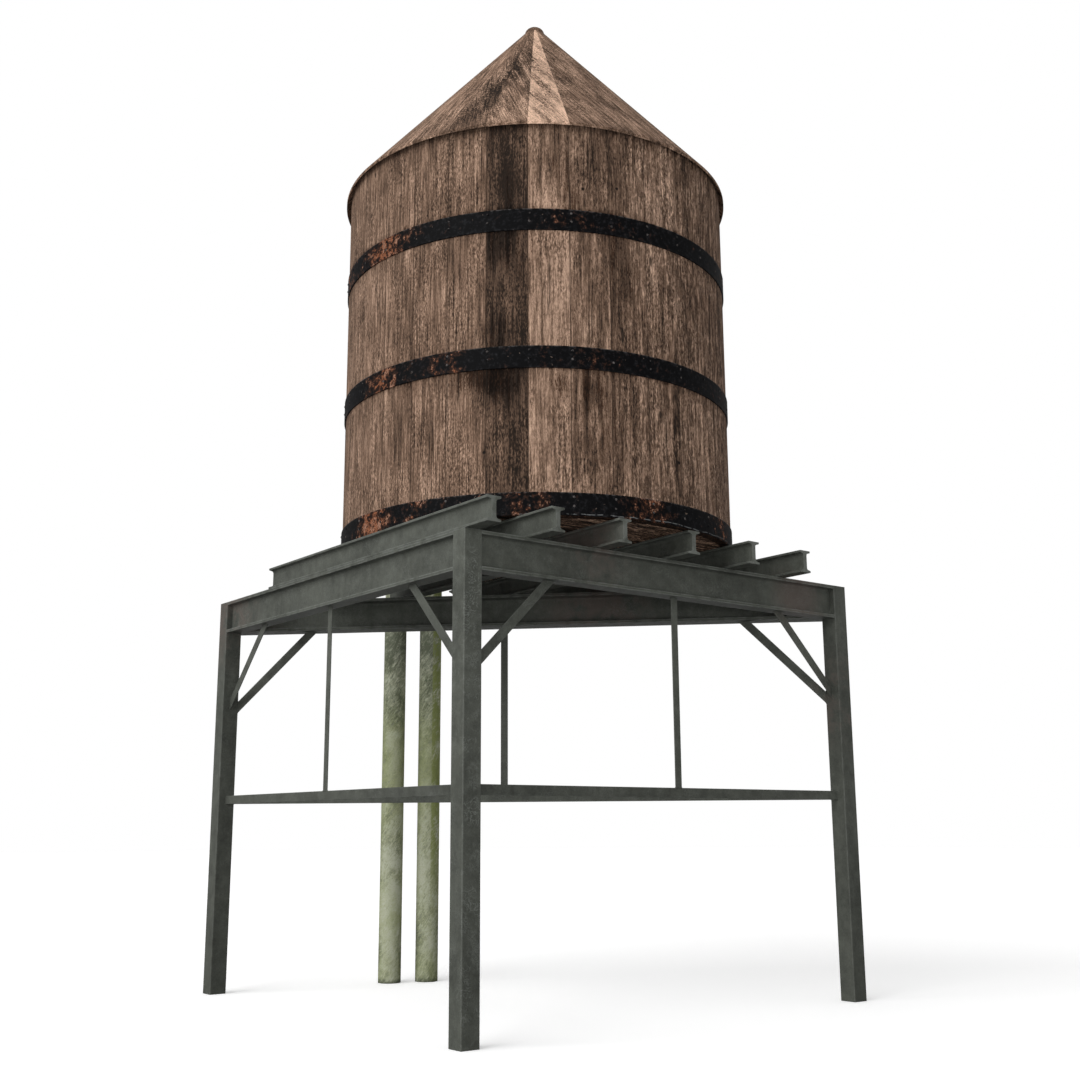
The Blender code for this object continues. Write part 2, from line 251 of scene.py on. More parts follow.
def grid_faces(copies, rows, ring, closed=True):
    """Faces of grids that close round each ring, and, if closed, from the last ring to the first."""
    row, column = np.meshgrid(np.arange(rows if closed else rows - 1), np.arange(ring), indexing="ij")
    after = (row + 1) % rows * ring
    right = (column + 1) % ring
    one = np.stack([row * ring + column, row * ring + right, after + right, after + column], axis=-1)
    shift = (np.arange(copies) * rows * ring)[:, None, None]
    return (one.reshape(-1, 4) + shift).reshape(-1, 4).tolist()


def tube_faces(tubes, rows, ring, strips=False):
    """Faces of closed tubes: a grid that closes round each ring, and a cap on both ends.

    A cap is one face, or with strips a row of faces between point k and point ring - 1 - k.
    """
    cap = np.arange(ring)[None]
    if strips:
        k = np.arange(ring // 2 - 1)
        cap = np.stack([k, k + 1, ring - 2 - k, ring - 1 - k], axis=1)
    shift = (np.arange(tubes) * rows * ring)[:, None, None]
    start = (cap[:, ::-1] + shift).reshape(-1, cap.shape[1])
    end = (cap + (rows - 1) * ring + shift).reshape(-1, cap.shape[1])
    return grid_faces(tubes, rows, ring, closed=False) + start.tolist() + end.tolist()


def round_axis(distance, turn, height):
    """Points at a distance from the tank's axis, a turn from +X and a height."""
    distance, turn, height = np.broadcast_arrays(distance, turn, height)
    return np.stack([AXIS[0] + distance * np.cos(turn), AXIS[1] + distance * np.sin(turn), height],
                    axis=-1)


def add_piece(name, points, faces, material, slot, nodes=(), **values):
    """A finished piece at the origin; its named values are spread over its points."""
    mesh = bpy.data.meshes.new(name)
    mesh.from_pydata(points.reshape(-1, 3).tolist(), [], faces)
    for key, value in values.items():
        wide = np.ndim(value) == points.ndim
        full = np.broadcast_to(value, points.shape if wide else points.shape[:-1])
        layer = mesh.attributes.new(key, "FLOAT_VECTOR" if wide else "FLOAT", "POINT")
        layer.data.foreach_set("vector" if wide else "value",
                               np.ascontiguousarray(full, np.float32).ravel())
    mesh.materials.append(material)
    mesh.shade_smooth()
    mesh.set_sharp_from_angle(angle=math.radians(38))
    corners = np.zeros(len(mesh.polygons), np.int32)
    mesh.polygons.foreach_get("loop_total", corners)
    mesh.polygons.foreach_set("use_smooth", corners == 4)
    if mesh.validate():
        raise RuntimeError(f"{name} has faulty faces")
    piece = bpy.data.objects.new(name, mesh)
    bpy.context.scene.collection.objects.link(piece)
    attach(piece, "root")
    if nodes:
        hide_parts(*nodes)
    return piece


def bar_points(outline, wear, origin, side, run, start, end, ease=0.0016):
    """Points and wear of a straight bar.

    The outline (x along side, y along side cross run) is carried from one cutting plane to
    another, each a point and a normal: distance = (point - origin - outline point) . normal
    / (run . normal). The first and last stations are drawn in, so the ends are rounded, by
    less than the outline's own rounding, so that it never crosses itself.
    """
    across = np.cross(run, side)
    spread = np.roll(outline, -1, axis=0) - np.roll(outline, 1, axis=0)
    outward = np.stack([spread[:, 1], -spread[:, 0]], axis=1)
    outward /= np.linalg.norm(outward, axis=1, keepdims=True)
    inward = np.array((1.0, 0.3, 0.0, 0.0, 0.0, 0.0, 0.3, 1.0))[:, None] * ease
    step = np.array((0.0, 0.3, 1.0, 5.0, -5.0, -1.0, -0.3, 0.0))[:, None] * ease
    shape = outline[None] - outward[None] * inward[..., None]
    flat = origin + shape[..., :1] * side + shape[..., 1:] * across
    first, last = ((point - flat) @ normal / (run @ normal) for point, normal in (start, end))
    station = np.where(np.arange(8)[:, None] < 4, first, last) + step
    points = flat + station[..., None] * run
    worn = np.maximum(wear[None], np.array((1, 1, 1, 0, 0, 1, 1, 1.0))[:, None] * END_WEAR)
    return points, worn


def bead_points(outline, origin, side, run, plane, radius):
    """A weld bead: a circle carried round a bar's outline, on the plane that cuts the bar.

    The circle stands on the plane's normal and on the line that leads away from the bar.
    """
    across = np.cross(run, side)
    point, normal = plane
    flat = origin + outline[:, :1] * side + outline[:, 1:] * across
    centre = flat + ((point - flat) @ normal / (run @ normal))[:, None] * run
    along = np.roll(centre, -1, axis=0) - np.roll(centre, 1, axis=0)
    down = -normal * np.sign(run @ normal)
    away = np.cross(down, along)
    away /= np.linalg.norm(away, axis=1, keepdims=True)
    turn = np.linspace(0, TURN, 8, endpoint=False)[None, :, None]
    return centre[:, None] + radius * (np.cos(turn) * away[:, None] + np.sin(turn) * down)


def dome_points(turn, level, surface, radius):
    """Low domes on a round surface: R cos t across and half of R sin t high."""
    turn, level = (v.reshape(-1, 1, 1) for v in np.broadcast_arrays(turn, level))
    rise = np.linspace(0, 0.95, 5)[:, None] * math.pi / 2
    spin = np.linspace(0, TURN, 12, endpoint=False)
    sideways = radius * np.cos(rise) * np.cos(spin) / surface
    upward = radius * np.cos(rise) * np.sin(spin)
    return round_axis(surface + 0.5 * radius * np.sin(rise), turn + sideways, level + upward)


def box_outline(width, height, ease=0.0026):
    return eased_outline([(-width / 2, -height / 2), (width / 2, -height / 2),
                          (width / 2, height / 2), (-width / 2, height / 2)], ease, EDGE_WEAR, 0.006)


def i_outline(width, depth, tip, root, web):
    """Rolled I-section on its foot: eased flange edges, and a wide fillet at each root."""
    half = [(width / 2, 0), (width / 2, tip), (web / 2, root),
            (web / 2, depth - root), (width / 2, depth - tip), (width / 2, depth)]
    corners = half + [(-x, y) for x, y in reversed(half)]
    fillet = web / 2
    edge = 0.004
    ease = [edge, edge, fillet, fillet, edge, edge] * 2
    # A wear of -1 at the roots darkens them: dirt and painted shade in the crease.
    wear = [FLANGE_WEAR, FLANGE_WEAR, -1.0, -1.0, FLANGE_WEAR, FLANGE_WEAR] * 2
    return eased_outline(corners, ease, wear)


class Finish:
    """A material being put together: each call adds a node and gives back its output."""

    def __init__(self, name):
        self.material = bpy.data.materials.new(name)
        self.material.use_nodes = True
        self.tree = self.material.node_tree
        self.shader = self.tree.nodes["Principled BSDF"]

    def feed(self, socket, value):
        if isinstance(value, bpy.types.NodeSocket):
            self.tree.links.new(value, socket)
        elif socket.type == "RGBA":
            socket.default_value = (*value, 1)
        else:
            socket.default_value = value

    def node(self, kind, inputs, output=0, **settings):
        node = self.tree.nodes.new("ShaderNode" + kind)
        for key, value in settings.items():
            setattr(node, key, value)
        for key, value in inputs.items():
            self.feed(node.inputs[key], value)
        return node.outputs[output]

    def attribute(self, name, output="Fac"):
        return self.node("Attribute", {}, output, attribute_name=name)

    def place(self):
        return self.node("TexCoord", {}, "Object")

    def vector(self, operation, first, second=(0, 0, 0), output=0):
        return self.node("VectorMath", {0: first, 1: second}, output, operation=operation)

    def stretch(self, vector, scale, shift=(0, 0, 0)):
        return self.vector("ADD", self.vector("MULTIPLY", vector, scale), shift)

    def noise(self, vector, scale=1.0, detail=3.0, roughness=0.5, distortion=0.0, shift=(0, 0, 0)):
        """A noise; with three scales its place is stretched along each axis, and shifted."""
        if isinstance(scale, tuple):
            vector = self.stretch(vector, scale, shift)
            scale = 1.0
        return self.node("TexNoise", {"Vector": vector, "Scale": scale, "Detail": detail,
                                      "Roughness": roughness, "Distortion": distortion})

    def cells(self, vector, output="Distance"):
        return self.node("TexVoronoi", {"Vector": vector, "Scale": 1.0}, output)

    def math(self, operation, first, second=0.0, third=0.0):
        return self.node("Math", {0: first, 1: second, 2: third}, operation=operation)

    def chain(self, operation, values):
        """One operation carried through a row of values."""
        total = values[0]
        for value in values[1:]:
            total = self.math(operation, total, value)
        return total

    def add(self, *values):
        return self.chain("ADD", values)

    def product(self, *values):
        return self.chain("MULTIPLY", values)

    def most(self, *values):
        return self.chain("MAXIMUM", values)

    def about(self, value, amount):
        """How far a noise is from its middle, times an amount."""
        return self.math("MULTIPLY_ADD", value, amount, -amount / 2)

    def band(self, value, low, high):
        """0 below low, 1 above high, smooth between; low above high turns it over."""
        return self.node("MapRange", {"Value": value, "From Min": low, "From Max": high},
                         interpolation_type="SMOOTHSTEP")

    def line(self, value, width):
        """1 on the thin curves where a noise crosses its middle."""
        away = self.math("ABSOLUTE", self.math("SUBTRACT", value, 0.5))
        return self.band(away, width, width * 0.3)

    def mix(self, factor, first, second, blend="MIX"):
        return self.node("MixRGB", {"Fac": factor, "Color1": first, "Color2": second},
                         blend_type=blend)

    def ramp(self, value, stops):
        node = self.tree.nodes.new("ShaderNodeValToRGB")
        ramp = node.color_ramp
        for place, colour in stops[1:-1]:
            ramp.elements.new(place)
        for element, (place, colour) in zip(ramp.elements, stops):
            element.position = place
            element.color = (*colour, 1)
        self.tree.links.new(value, node.inputs[0])
        return node.outputs[0]

    def finish(self, colour, roughness, height, bump=0.4, depth=0.003, specular=0.4):
        self.feed(self.shader.inputs["Base Color"], colour)
        self.feed(self.shader.inputs["Roughness"], roughness)
        self.shader.inputs["Metallic"].default_value = 0.0
        self.shader.inputs["Specular IOR Level"].default_value = specular
        normal = self.node("Bump", {"Height": height, "Strength": bump, "Distance": depth}, "Normal")
        self.feed(self.shader.inputs["Normal"], normal)
        return self.material


def blend_colour(first, second, share):
    return tuple(a + (b - a) * share for a, b in zip(first, second))


def wood_finish(name, wood, warm=1.0, brightness=1.0, contrast=1.0, spots=(), swirl=1.4, fine=1.0):
    """Weathered wood; the grain value is (across, along, through) the board in metres.

    A spot is a place, its reach across and upright, and how dark it is. Swirl is how far the
    wild grain curls where the gnarled value is high, and fine how close its lines lie.
    """
    f = Finish(name)
    tint = (brightness * warm, brightness, brightness / warm)
    pale, middle, dark = (tuple(c * t for c, t in zip(colour, tint))
                          for colour in (wood.pale, wood.middle, wood.dark))
    grain = f.attribute("grain", "Vector")
    fibre = f.noise(grain, (72, 3.0, 72), detail=5, roughness=0.65)
    growth = f.noise(grain, (14, 1.1, 14), detail=4, distortion=0.6, shift=(3, 7, 1))
    furrow = f.band(f.noise(grain, (52, 1.5, 52), shift=(8, 3, 6)), 0.45, 0.36)
    cloud = f.noise(grain, (4.5, 2.0, 4.5), detail=4, roughness=0.6, shift=(9, 2, 5))
    fleck = f.noise(grain, (110, 30, 110), roughness=0.65)
    rough = f.band(f.noise(grain, (5, 1.6, 5), detail=2, shift=(7, 5, 3)), 0.38, 0.60)
    knot_place = f.stretch(grain, (4.0, 1.05, 4.0), (0.3, 0.6, 0))
    chosen = f.band(f.node("SeparateColor", {0: f.cells(knot_place, "Color")}), 0.24, 0.20)
    knot = f.product(f.band(f.cells(knot_place), 0.085, 0.03), chosen)
    hole = f.band(f.cells(f.stretch(grain, (5.1, 2.3, 5.1), (4, 1, 2))), 0.026, 0.018)
    crack = f.product(f.line(f.noise(grain, (21, 0.42, 21), shift=(1, 4, 2)), 0.012),
                      f.band(f.noise(grain, (5, 0.8, 5), shift=(6, 6, 2)), 0.53, 0.62))
    streak = f.noise(grain, (24, 1.6, 24), detail=4, roughness=0.6, shift=(2, 9, 4))
    # On the staves the stain value also holds painted shade under the hoops, under the eave and at the foot.
    stain_and_shade = f.band(f.add(f.attribute("stain"), f.about(streak, 2.4), f.about(fleck, 2.8),
                           f.about(fibre, 2.2)), 0.40, 0.95)
    speckle = f.product(f.about(fleck, 1.6), f.math("MULTIPLY_ADD", rough, 0.75, 0.50))
    gnarled = f.attribute("gnarled")
    wild = f.noise(grain, (24 * fine, 7.5 * fine, 24 * fine), detail=6, roughness=0.7,
                   distortion=swirl, shift=(5, 2, 8))
    pattern = f.add(f.about(fibre, 1.50), f.product(f.about(growth, 1.0), f.add(gnarled, 0.38)),
                    f.product(f.about(wild, 2.2), gnarled), f.about(cloud, 0.70), speckle,
                    f.product(furrow, -0.15))
    level = f.add(f.attribute("tone"), f.product(pattern, contrast), f.product(stain_and_shade, -0.22))
    bright = tuple(1.45 * c for c in pale)
    colour = f.ramp(f.math("MULTIPLY_ADD", level, 0.6, 0.27),
                    ((0.0, blend_colour(dark, wood.stain, 0.8)), (0.25, dark),
                     (0.45, blend_colour(dark, middle, 0.55)), (0.58, middle),
                     (0.74, blend_colour(middle, pale, 0.55)), (0.87, pale), (1.0, bright)))
    colour = f.mix(stain_and_shade, colour, (0.22, 0.18, 0.155), "MULTIPLY")
    split = f.product(f.line(wild, 0.026), f.band(gnarled, 0.25, 0.75), f.band(cloud, 0.44, 0.54))
    marks = f.most(f.product(crack, 0.75), f.product(knot, 0.65), hole, f.product(split, 0.7))
    for centre, wide, tall, strength in spots:
        away = f.vector("SUBTRACT", f.place(), centre)
        away = f.stretch(away, (1 / wide, 1 / wide, 1 / tall))
        near = f.band(f.vector("LENGTH", away, output="Value"), 1.0, 0.5)
        marks = f.most(marks, f.product(near, strength))
    colour = f.mix(marks, colour, wood.stain)
    colour = f.mix(f.product(f.attribute("wear"), 0.45), colour, dark)
    height = f.add(f.about(fibre, 0.9), f.about(growth, 0.5), f.about(fleck, 1.1),
                   f.product(f.about(wild, 1.0), gnarled), f.product(marks, -0.5))
    roughness = f.math("MULTIPLY_ADD", fibre, -0.2, 1.0)
    return f.finish(colour, roughness, height, bump=0.75, depth=0.010, specular=0.08)


def hoop_finish(name, hoop, chipped_level):
    """Blackened iron with rust where the rust value is high, rubbed edges, which on the hoops' upper edges
    are also a painted highlight, and one chipped line.
    """
    f = Finish(name)
    place = f.place()
    patch = f.noise(place, 11, detail=5, roughness=0.6)
    grit = f.noise(place, 30, detail=5, roughness=0.68)
    pit = f.noise(place, 95)
    amount = f.add(f.attribute("rust"), f.about(patch, 1.5), f.about(grit, 1.6))
    rusty = f.band(amount, 0.52, 0.62)
    deep = f.band(amount, 0.25, 0.52)
    tint = f.mix(f.band(patch, 0.50, 0.64), hoop.rust, blend_colour(hoop.rust, (0.30, 0.19, 0.14), 0.6))
    tint = f.mix(f.band(pit, 0.47, 0.58), tint, blend_colour(hoop.rust, hoop.iron, 0.70))
    base = f.mix(f.band(grit, 0.48, 0.75), hoop.iron,
                 blend_colour(hoop.iron, (0.040, 0.041, 0.046), 0.34))
    base = f.mix(f.product(deep, 0.8), base, blend_colour(hoop.iron, (0.040, 0.018, 0.011), 0.8))
    colour = f.mix(rusty, base, tint)
    speck = f.band(f.noise(f.stretch(place, (1, 1, 1), (4, 8, 2)), 30, detail=2), 0.72, 0.75)
    colour = f.mix(f.product(speck, 0.5), colour, (0.20, 0.15, 0.12))
    # Rubbed edges; on the hoops most wear sits on the upper edge, where this is also a painted highlight.
    rubbed = f.product(f.attribute("wear"), f.band(f.noise(place, 30), 0.42, 0.62))
    colour = f.mix(f.product(rubbed, 0.5), colour, (0.10, 0.09, 0.085))
    height_on = f.node("SeparateXYZ", {0: place}, "Z")
    waver = f.about(f.noise(place, 4.5, detail=4), 0.060)
    off_line = f.math("ABSOLUTE", f.add(height_on, waver, -chipped_level))
    chipped = f.product(f.attribute("chip"), f.band(off_line, 0.005, 0.0025),
                        f.band(f.noise(place, 20), 0.44, 0.53))
    colour = f.mix(chipped, colour, (0.11, 0.115, 0.115))
    roughness = f.math("MULTIPLY_ADD", rusty, 0.25, 0.62)
    height = f.add(f.about(grit, 0.6), f.product(rusty, 0.5), f.about(pit, 0.3))
    return f.finish(colour, roughness, height, bump=0.6, specular=0.05)


def steel_finish(name, steel):
    """Weathered paint on steel: mottling and runs, reddish bloom, curling scratches, rubbed edges, and dirt
    with painted shade in the flanges' roots.
    """
    f = Finish(name)
    place = f.place()
    broad = f.noise(place, 1.3, detail=4, roughness=0.55)
    cloud = f.noise(place, 9, detail=6, roughness=0.65)
    runs = f.noise(place, (17, 17, 2.2), detail=4, roughness=0.6, shift=(3, 1, 4))
    speck = f.noise(place, 80, roughness=0.65)
    level = f.add(0.5, f.about(broad, 0.8), f.about(cloud, 1.1), f.about(runs, 0.35), f.about(speck, 0.6))
    dark = tuple(0.58 * c for c in steel.paint)
    light = tuple(1.45 * c for c in steel.paint)
    colour = f.ramp(level, ((0.1, dark), (0.5, tuple(steel.paint)), (0.9, light)))
    bloom = f.most(0.0, *(f.band(f.vector("DISTANCE", place, centre, "Value"), reach, 0.25 * reach)
                          for centre, reach in BLOOM_PLACES))
    bloom = f.product(bloom, f.band(f.add(broad, f.about(cloud, 1.0)), 0.30, 0.60))
    colour = f.mix(f.product(bloom, 0.6), colour, steel.bloom)
    curl = f.line(f.noise(place, 13, roughness=0.55, distortion=2.2), 0.042)
    fine = f.line(f.noise(place, 30, roughness=0.6, distortion=1.5), 0.080)
    where = f.noise(f.stretch(place, (1, 1, 1), (2, 9, 3)), 3.2, detail=5, roughness=0.6)
    scratch = f.product(f.most(f.product(curl, f.band(where, 0.50, 0.60)),
                               f.product(fine, f.band(where, 0.49, 0.40), 0.7)),
                        f.attribute("scratched"))
    colour = f.mix(f.product(scratch, 0.5), colour, steel.worn)
    wear = f.attribute("wear")
    rubbed = f.product(f.band(wear, 0.1, 1.0), f.band(f.noise(place, 11, detail=4), 0.30, 0.60))
    colour = f.mix(f.product(rubbed, 0.55), colour, steel.worn)
    # Below 0 the wear value marks the flanges' roots: darker with dirt and painted shade.
    colour = f.mix(f.product(f.band(wear, 0.0, -1.0), 0.45), colour, dark)
    height = f.add(f.about(cloud, 0.4), f.about(speck, 0.5), f.product(scratch, 0.25))
    roughness = f.math("MULTIPLY_ADD", cloud, 0.3, 0.45)
    return f.finish(colour, roughness, height, bump=0.3, depth=0.002, specular=0.12)


def brush_ways():
    """Directions along, across and through a brush mark that climbs to the right on the pipes'
    front, each as long as the pattern is close."""
    right = math.radians(PIPE_FRONT + 90)
    lean = math.radians(BRUSH_LEAN)
    level = np.array((math.cos(right), math.sin(right), 0))
    along = math.cos(lean) * level + math.sin(lean) * UP
    across = math.sin(lean) * level - math.cos(lean) * UP
    return tuple(14.0 * along), tuple(50.0 * across), tuple(26.0 * np.cross(UP, level))


def pipe_finish(name, pipe):
    """Pale coat, mottled with dirt and painted shade that thicken where the pieces' value for them is high,
    and green growth.
    """
    f = Finish(name)
    place = f.place()
    cloud = f.noise(place, (6, 6, 4), detail=5, roughness=0.6)
    slanted = f.node("CombineXYZ", {number: f.vector("DOT_PRODUCT", place, way, "Value")
                                    for number, way in enumerate(brush_ways())})
    brushed = f.noise(slanted, detail=4, roughness=0.62, distortion=0.8)
    speck = f.noise(place, 70, detail=4, roughness=0.6)
    level = f.add(f.attribute("grime"), f.about(cloud, 1.6), f.about(brushed, 1.7), f.about(speck, 0.5))
    tinge = f.band(f.add(f.attribute("tinge"), f.about(cloud, 1.6), f.about(brushed, 1.2)), 0.05, 0.90)
    colour = f.mix(tinge, pipe.coat, blend_colour(pipe.coat, pipe.moss, 0.7))
    colour = f.mix(f.product(f.band(brushed, 0.50, 0.72), 0.38), colour, pipe.pale)
    # Darker with dirt and painted shade where that value is high.
    colour = f.mix(f.product(f.band(level, 0.0, 1.0), 0.85), colour, pipe.grime)
    green = f.product(f.attribute("moss"), f.band(f.add(brushed, f.about(cloud, 1.0)), 0.25, 0.55))
    colour = f.mix(f.product(green, 0.85), colour, pipe.moss)
    colour = f.mix(f.product(f.band(speck, 0.5, 0.75), 0.3), colour, pipe.grime)
    height = f.add(f.about(brushed, 0.6), f.about(speck, 0.4))
    return f.finish(colour, 0.75, height, bump=0.35, specular=0.2)


# Iron stains on the wall: place round the tank in degrees from +X and height in metres, their
# reach both ways, and their strength.
WALL_STAINS = (
    (218, 5.22, 9, 0.13, 0.85), (224.5, 5.14, 4.5, 0.22, 0.60), (238.5, 5.17, 3, 0.12, 0.70),
    (247, 5.13, 4, 0.15, 0.62), (222, 5.66, 5, 0.18, 0.60), (224, 6.40, 4.5, 0.26, 0.75),
    (226, 6.95, 4, 0.40, 0.40), (240, 7.15, 5, 0.25, 0.45), (251, 4.80, 9, 0.40, 0.42),
    (255, 6.20, 7, 0.45, 0.42), (284, 5.90, 8, 0.50, 0.35), (196, 5.25, 6, 0.12, 0.35),
    (318, 5.15, 9, 0.30, 0.65), (20, 6.35, 8, 0.35, 0.70), (65, 5.10, 7, 0.25, 0.75),
    (105, 6.30, 9, 0.40, 0.60), (150, 5.20, 6, 0.30, 0.70), (241, 6.86, 6, 0.09, 0.40),
)
# Rust on each hoop: place round the tank, reach in degrees, strength.
RUST_PATCHES = {
    "upper_hoop": ((185, 12, 0.60), (158, 9, 0.40), (238, 4, 0.30), (246, 3, 0.24), (262, 10, 0.09),
                   (310, 12, 0.20), (40, 12, 0.46), (108, 8, 0.36)),
    "middle_hoop": ((185, 9, 0.56), (205, 5, 0.36), (211, 3, 0.30), (234, 4, 0.12), (247, 4, 0.33),
                    (262, 9, 0.12), (302, 14, 0.22), (15, 11, 0.50), (95, 7, 0.42)),
    "lower_hoop": ((182, 10, 0.65), (199, 3, 0.40), (209, 8, 0.18), (230, 8, 0.40), (263, 8, 0.46),
                   (297, 7, 0.44), (50, 11, 0.55), (120, 9, 0.46)),
}
# Paler (above 0) and darker (below 0) places on the wall in the stains' form, and on the roof,
# where the second value is the distance from the axis.
WALL_TONES = (
    (181, 7.10, 14, 0.70, -0.04), (206, 7.10, 9, 0.70, -0.07), (224, 7.20, 5, 0.60, -0.08),
    (236.5, 7.30, 5, 0.45, -0.09), (253, 7.20, 7, 0.60, -0.14), (268, 7.10, 8, 0.60, 0.30),
    (198.5, 6.00, 9, 0.60, -0.12), (197, 4.80, 10, 0.50, -0.10), (236.5, 6.00, 5, 0.60, 0.04),
    (272, 6.10, 10, 0.50, 0.19), (257, 4.75, 8, 0.35, 0.11), (180, 4.80, 12, 0.50, -0.03),
    (285, 4.80, 12, 0.60, 0.09), (236.5, 4.70, 5, 0.40, -0.08), (204, 7.10, 8, 0.60, -0.04),
    (280.5, 7.15, 4, 0.60, -0.18), (279.5, 6.10, 3.5, 0.60, -0.17), (290, 6.15, 5, 0.60, 0.13),
    (278, 4.85, 3.5, 0.50, -0.19), (288, 4.90, 5, 0.50, 0.10), (303, 6.40, 5, 1.20, -0.08),
)
ROOF_TONES = (
    (218.5, 1.02, 4.5, 0.24, -0.27), (215.5, 1.50, 4, 0.30, -0.14), (229, 0.72, 3.5, 0.12, -0.26),
    (245, 0.85, 4.5, 0.30, -0.20), (262, 1.10, 12, 0.35, -0.06), (224, 1.50, 4, 0.30, 0.03),
    (192, 1.40, 16, 0.50, 0.05), (290, 1.20, 30, 0.80, 0.10), (236, 1.70, 4, 0.25, -0.12),
)
# Where the roof's grain is wild and split, in the same form.
ROOF_GNARLS = (
    (236, 1.10, 6, 0.75, 1.55), (224, 0.80, 9, 0.35, 1.15), (214, 1.20, 6, 0.45, 0.95),
    (200, 1.60, 9, 0.30, 0.50), (268, 1.50, 14, 0.40, 0.40), (330, 1.00, 16, 0.50, 0.60),
    (60, 1.30, 14, 0.50, 0.60), (130, 0.90, 12, 0.50, 0.60),
)
# Nail holes, a crack and knots on the wall: place and height, reach across and upright, darkness.
WALL_SPOTS = (
    (219, 4.60, 0.019, 0.020, 1), (274.8, 4.62, 0.018, 0.019, 1), (245.7, 6.96, 0.018, 0.020, 1),
    (255.5, 7.01, 0.017, 0.018, 1), (256.5, 5.66, 0.018, 0.110, 0.9), (227.2, 4.44, 0.030, 0.018, 0.8),
    (268.2, 5.01, 0.024, 0.045, 0.8), (177.2, 7.08, 0.014, 0.035, 0.9), (179, 7.46, 0.014, 0.035, 0.9),
    (266, 6.40, 0.020, 0.060, 0.8), (31, 6.10, 0.018, 0.018, 1), (72, 4.90, 0.024, 0.032, 0.8),
    (118, 6.70, 0.016, 0.070, 0.8), (340, 5.30, 0.017, 0.018, 1),
)
# Splits in the roof boards, in the same form with the distance from the axis.
ROOF_SPOTS = (
    (217.5, 0.96, 0.028, 0.020, 0.9), (221.2, 1.08, 0.020, 0.026, 0.8), (231.3, 0.77, 0.022, 0.020, 0.9),
    (224.5, 0.90, 0.030, 0.018, 0.8), (227.5, 0.66, 0.026, 0.018, 0.8), (219.8, 1.22, 0.018, 0.030, 0.7),
    (247.5, 0.71, 0.022, 0.018, 0.7), (40, 1.10, 0.026, 0.022, 0.8), (120, 0.80, 0.022, 0.026, 0.8),
)
# Reddish bloom on the steel: middle in metres, and reach.
BLOOM_PLACES = (
    ((0.55, -0.35, 3.68), 0.75), ((-2.23, 2.30, 3.85), 0.85), ((1.62, -2.06, 3.70), 0.45),
    ((2.25, -2.02, 2.75), 0.60), ((-0.90, -1.85, 3.95), 0.60), ((0.05, 2.05, 3.95), 0.50),
)
# Dirt on both pipes, and on the left one alone: middle height and reach in metres, strength; a negative
# strength makes the coat paler.
# On both pipes the first row, just under the tank, is painted shade under the tank as well as dirt.
PIPE_GRIME_AND_SHADE = ((3.55, 0.42, 0.74), (2.9, 0.2, 0.26), (2.4, 0.2, 0.06))
LEFT_PIPE_GRIME = ((1.3, 0.2, 0.16), (0.68, 0.2, -0.50))
# Where each hoop's ends meet, in degrees from +X.
JOINT_PLACES = {"lower_hoop": 22.5, "middle_hoop": 45, "upper_hoop": 112.5}
# Heights of the two nails at each joint of two staves, as shares of a hoop's height.
NAIL_LEVELS = (0.41, 0.80)
# Green growth on the right pipe: middle of its strip from +X, and reach to each side, in degrees.
MOSS_PLACE = 290
MOSS_REACH = 40
# The side of the pipes that looks away from the tank's frame, from +X, in degrees.
PIPE_FRONT = 237
# How steeply the brush marks climb there, in degrees.
BRUSH_LEAN = 55


def spread_random(seed, *shape):
    return np.random.default_rng(seed).uniform(-1, 1, shape)


def swell(value, middle, reach):
    """Smooth bump exp(-((value - middle) / reach)^2)."""
    return np.exp(-((value - middle) / reach) ** 2)


def near_angle(angle, centre, width):
    """The same bump round an angle."""
    return swell((angle - centre + math.pi) % TURN - math.pi, 0, width)


def swells(table, value):
    """Sum over a table's rows of bumps with a middle, a reach and a strength."""
    return sum(strength * swell(value, middle, reach) for middle, reach, strength in table)


def marks(table, turn, level):
    """Sum over a table's rows of strength exp(-(angle / reach)^2 - (height / tall)^2)."""
    total = np.zeros(turn.shape)
    for angle, height, reach, tall, strength in table:
        total += (strength * near_angle(turn, math.radians(angle), math.radians(reach))
                  * swell(level, height, tall))
    return total


def board_angles(wood, number, each):
    """Middle of each board of one group, round the axis from +X."""
    return (np.arange(each) + 1 + number * each) * TURN / wood.count


def board_tones(wood, angles, seed, spread, pale, dark, dark_place):
    """Each board's lightness: a seeded spread, wider at the back, and one pale and one dark board."""
    wider = 1 + 1.4 * near_angle(angles, wood.pale_place + math.pi, 1.1)
    step = TURN / wood.count
    return (0.5 + spread * wider * spread_random(seed, len(angles))
            + pale * near_angle(angles, wood.pale_place, step / 3)
            + dark * near_angle(angles, dark_place, step / 3))


def spot_places(table, radius_and_height):
    """Rows of a spots table, each with its point on the surface in place of its angle and level."""
    spots = []
    for angle, level, wide, tall, strength in table:
        distance, height = radius_and_height(level)
        centre = round_axis(distance, math.radians(angle), height)
        spots.append((centre.tolist(), wide, tall, strength))
    return spots


def grain_values(seed, boards, across, along, through):
    """Board coordinates (across, along, through), each board moved to its own part of the log."""
    grain = np.stack(np.broadcast_arrays(across, along, through), axis=-1)
    return grain + 40 * spread_random(seed, boards, 3)[:, None, None]


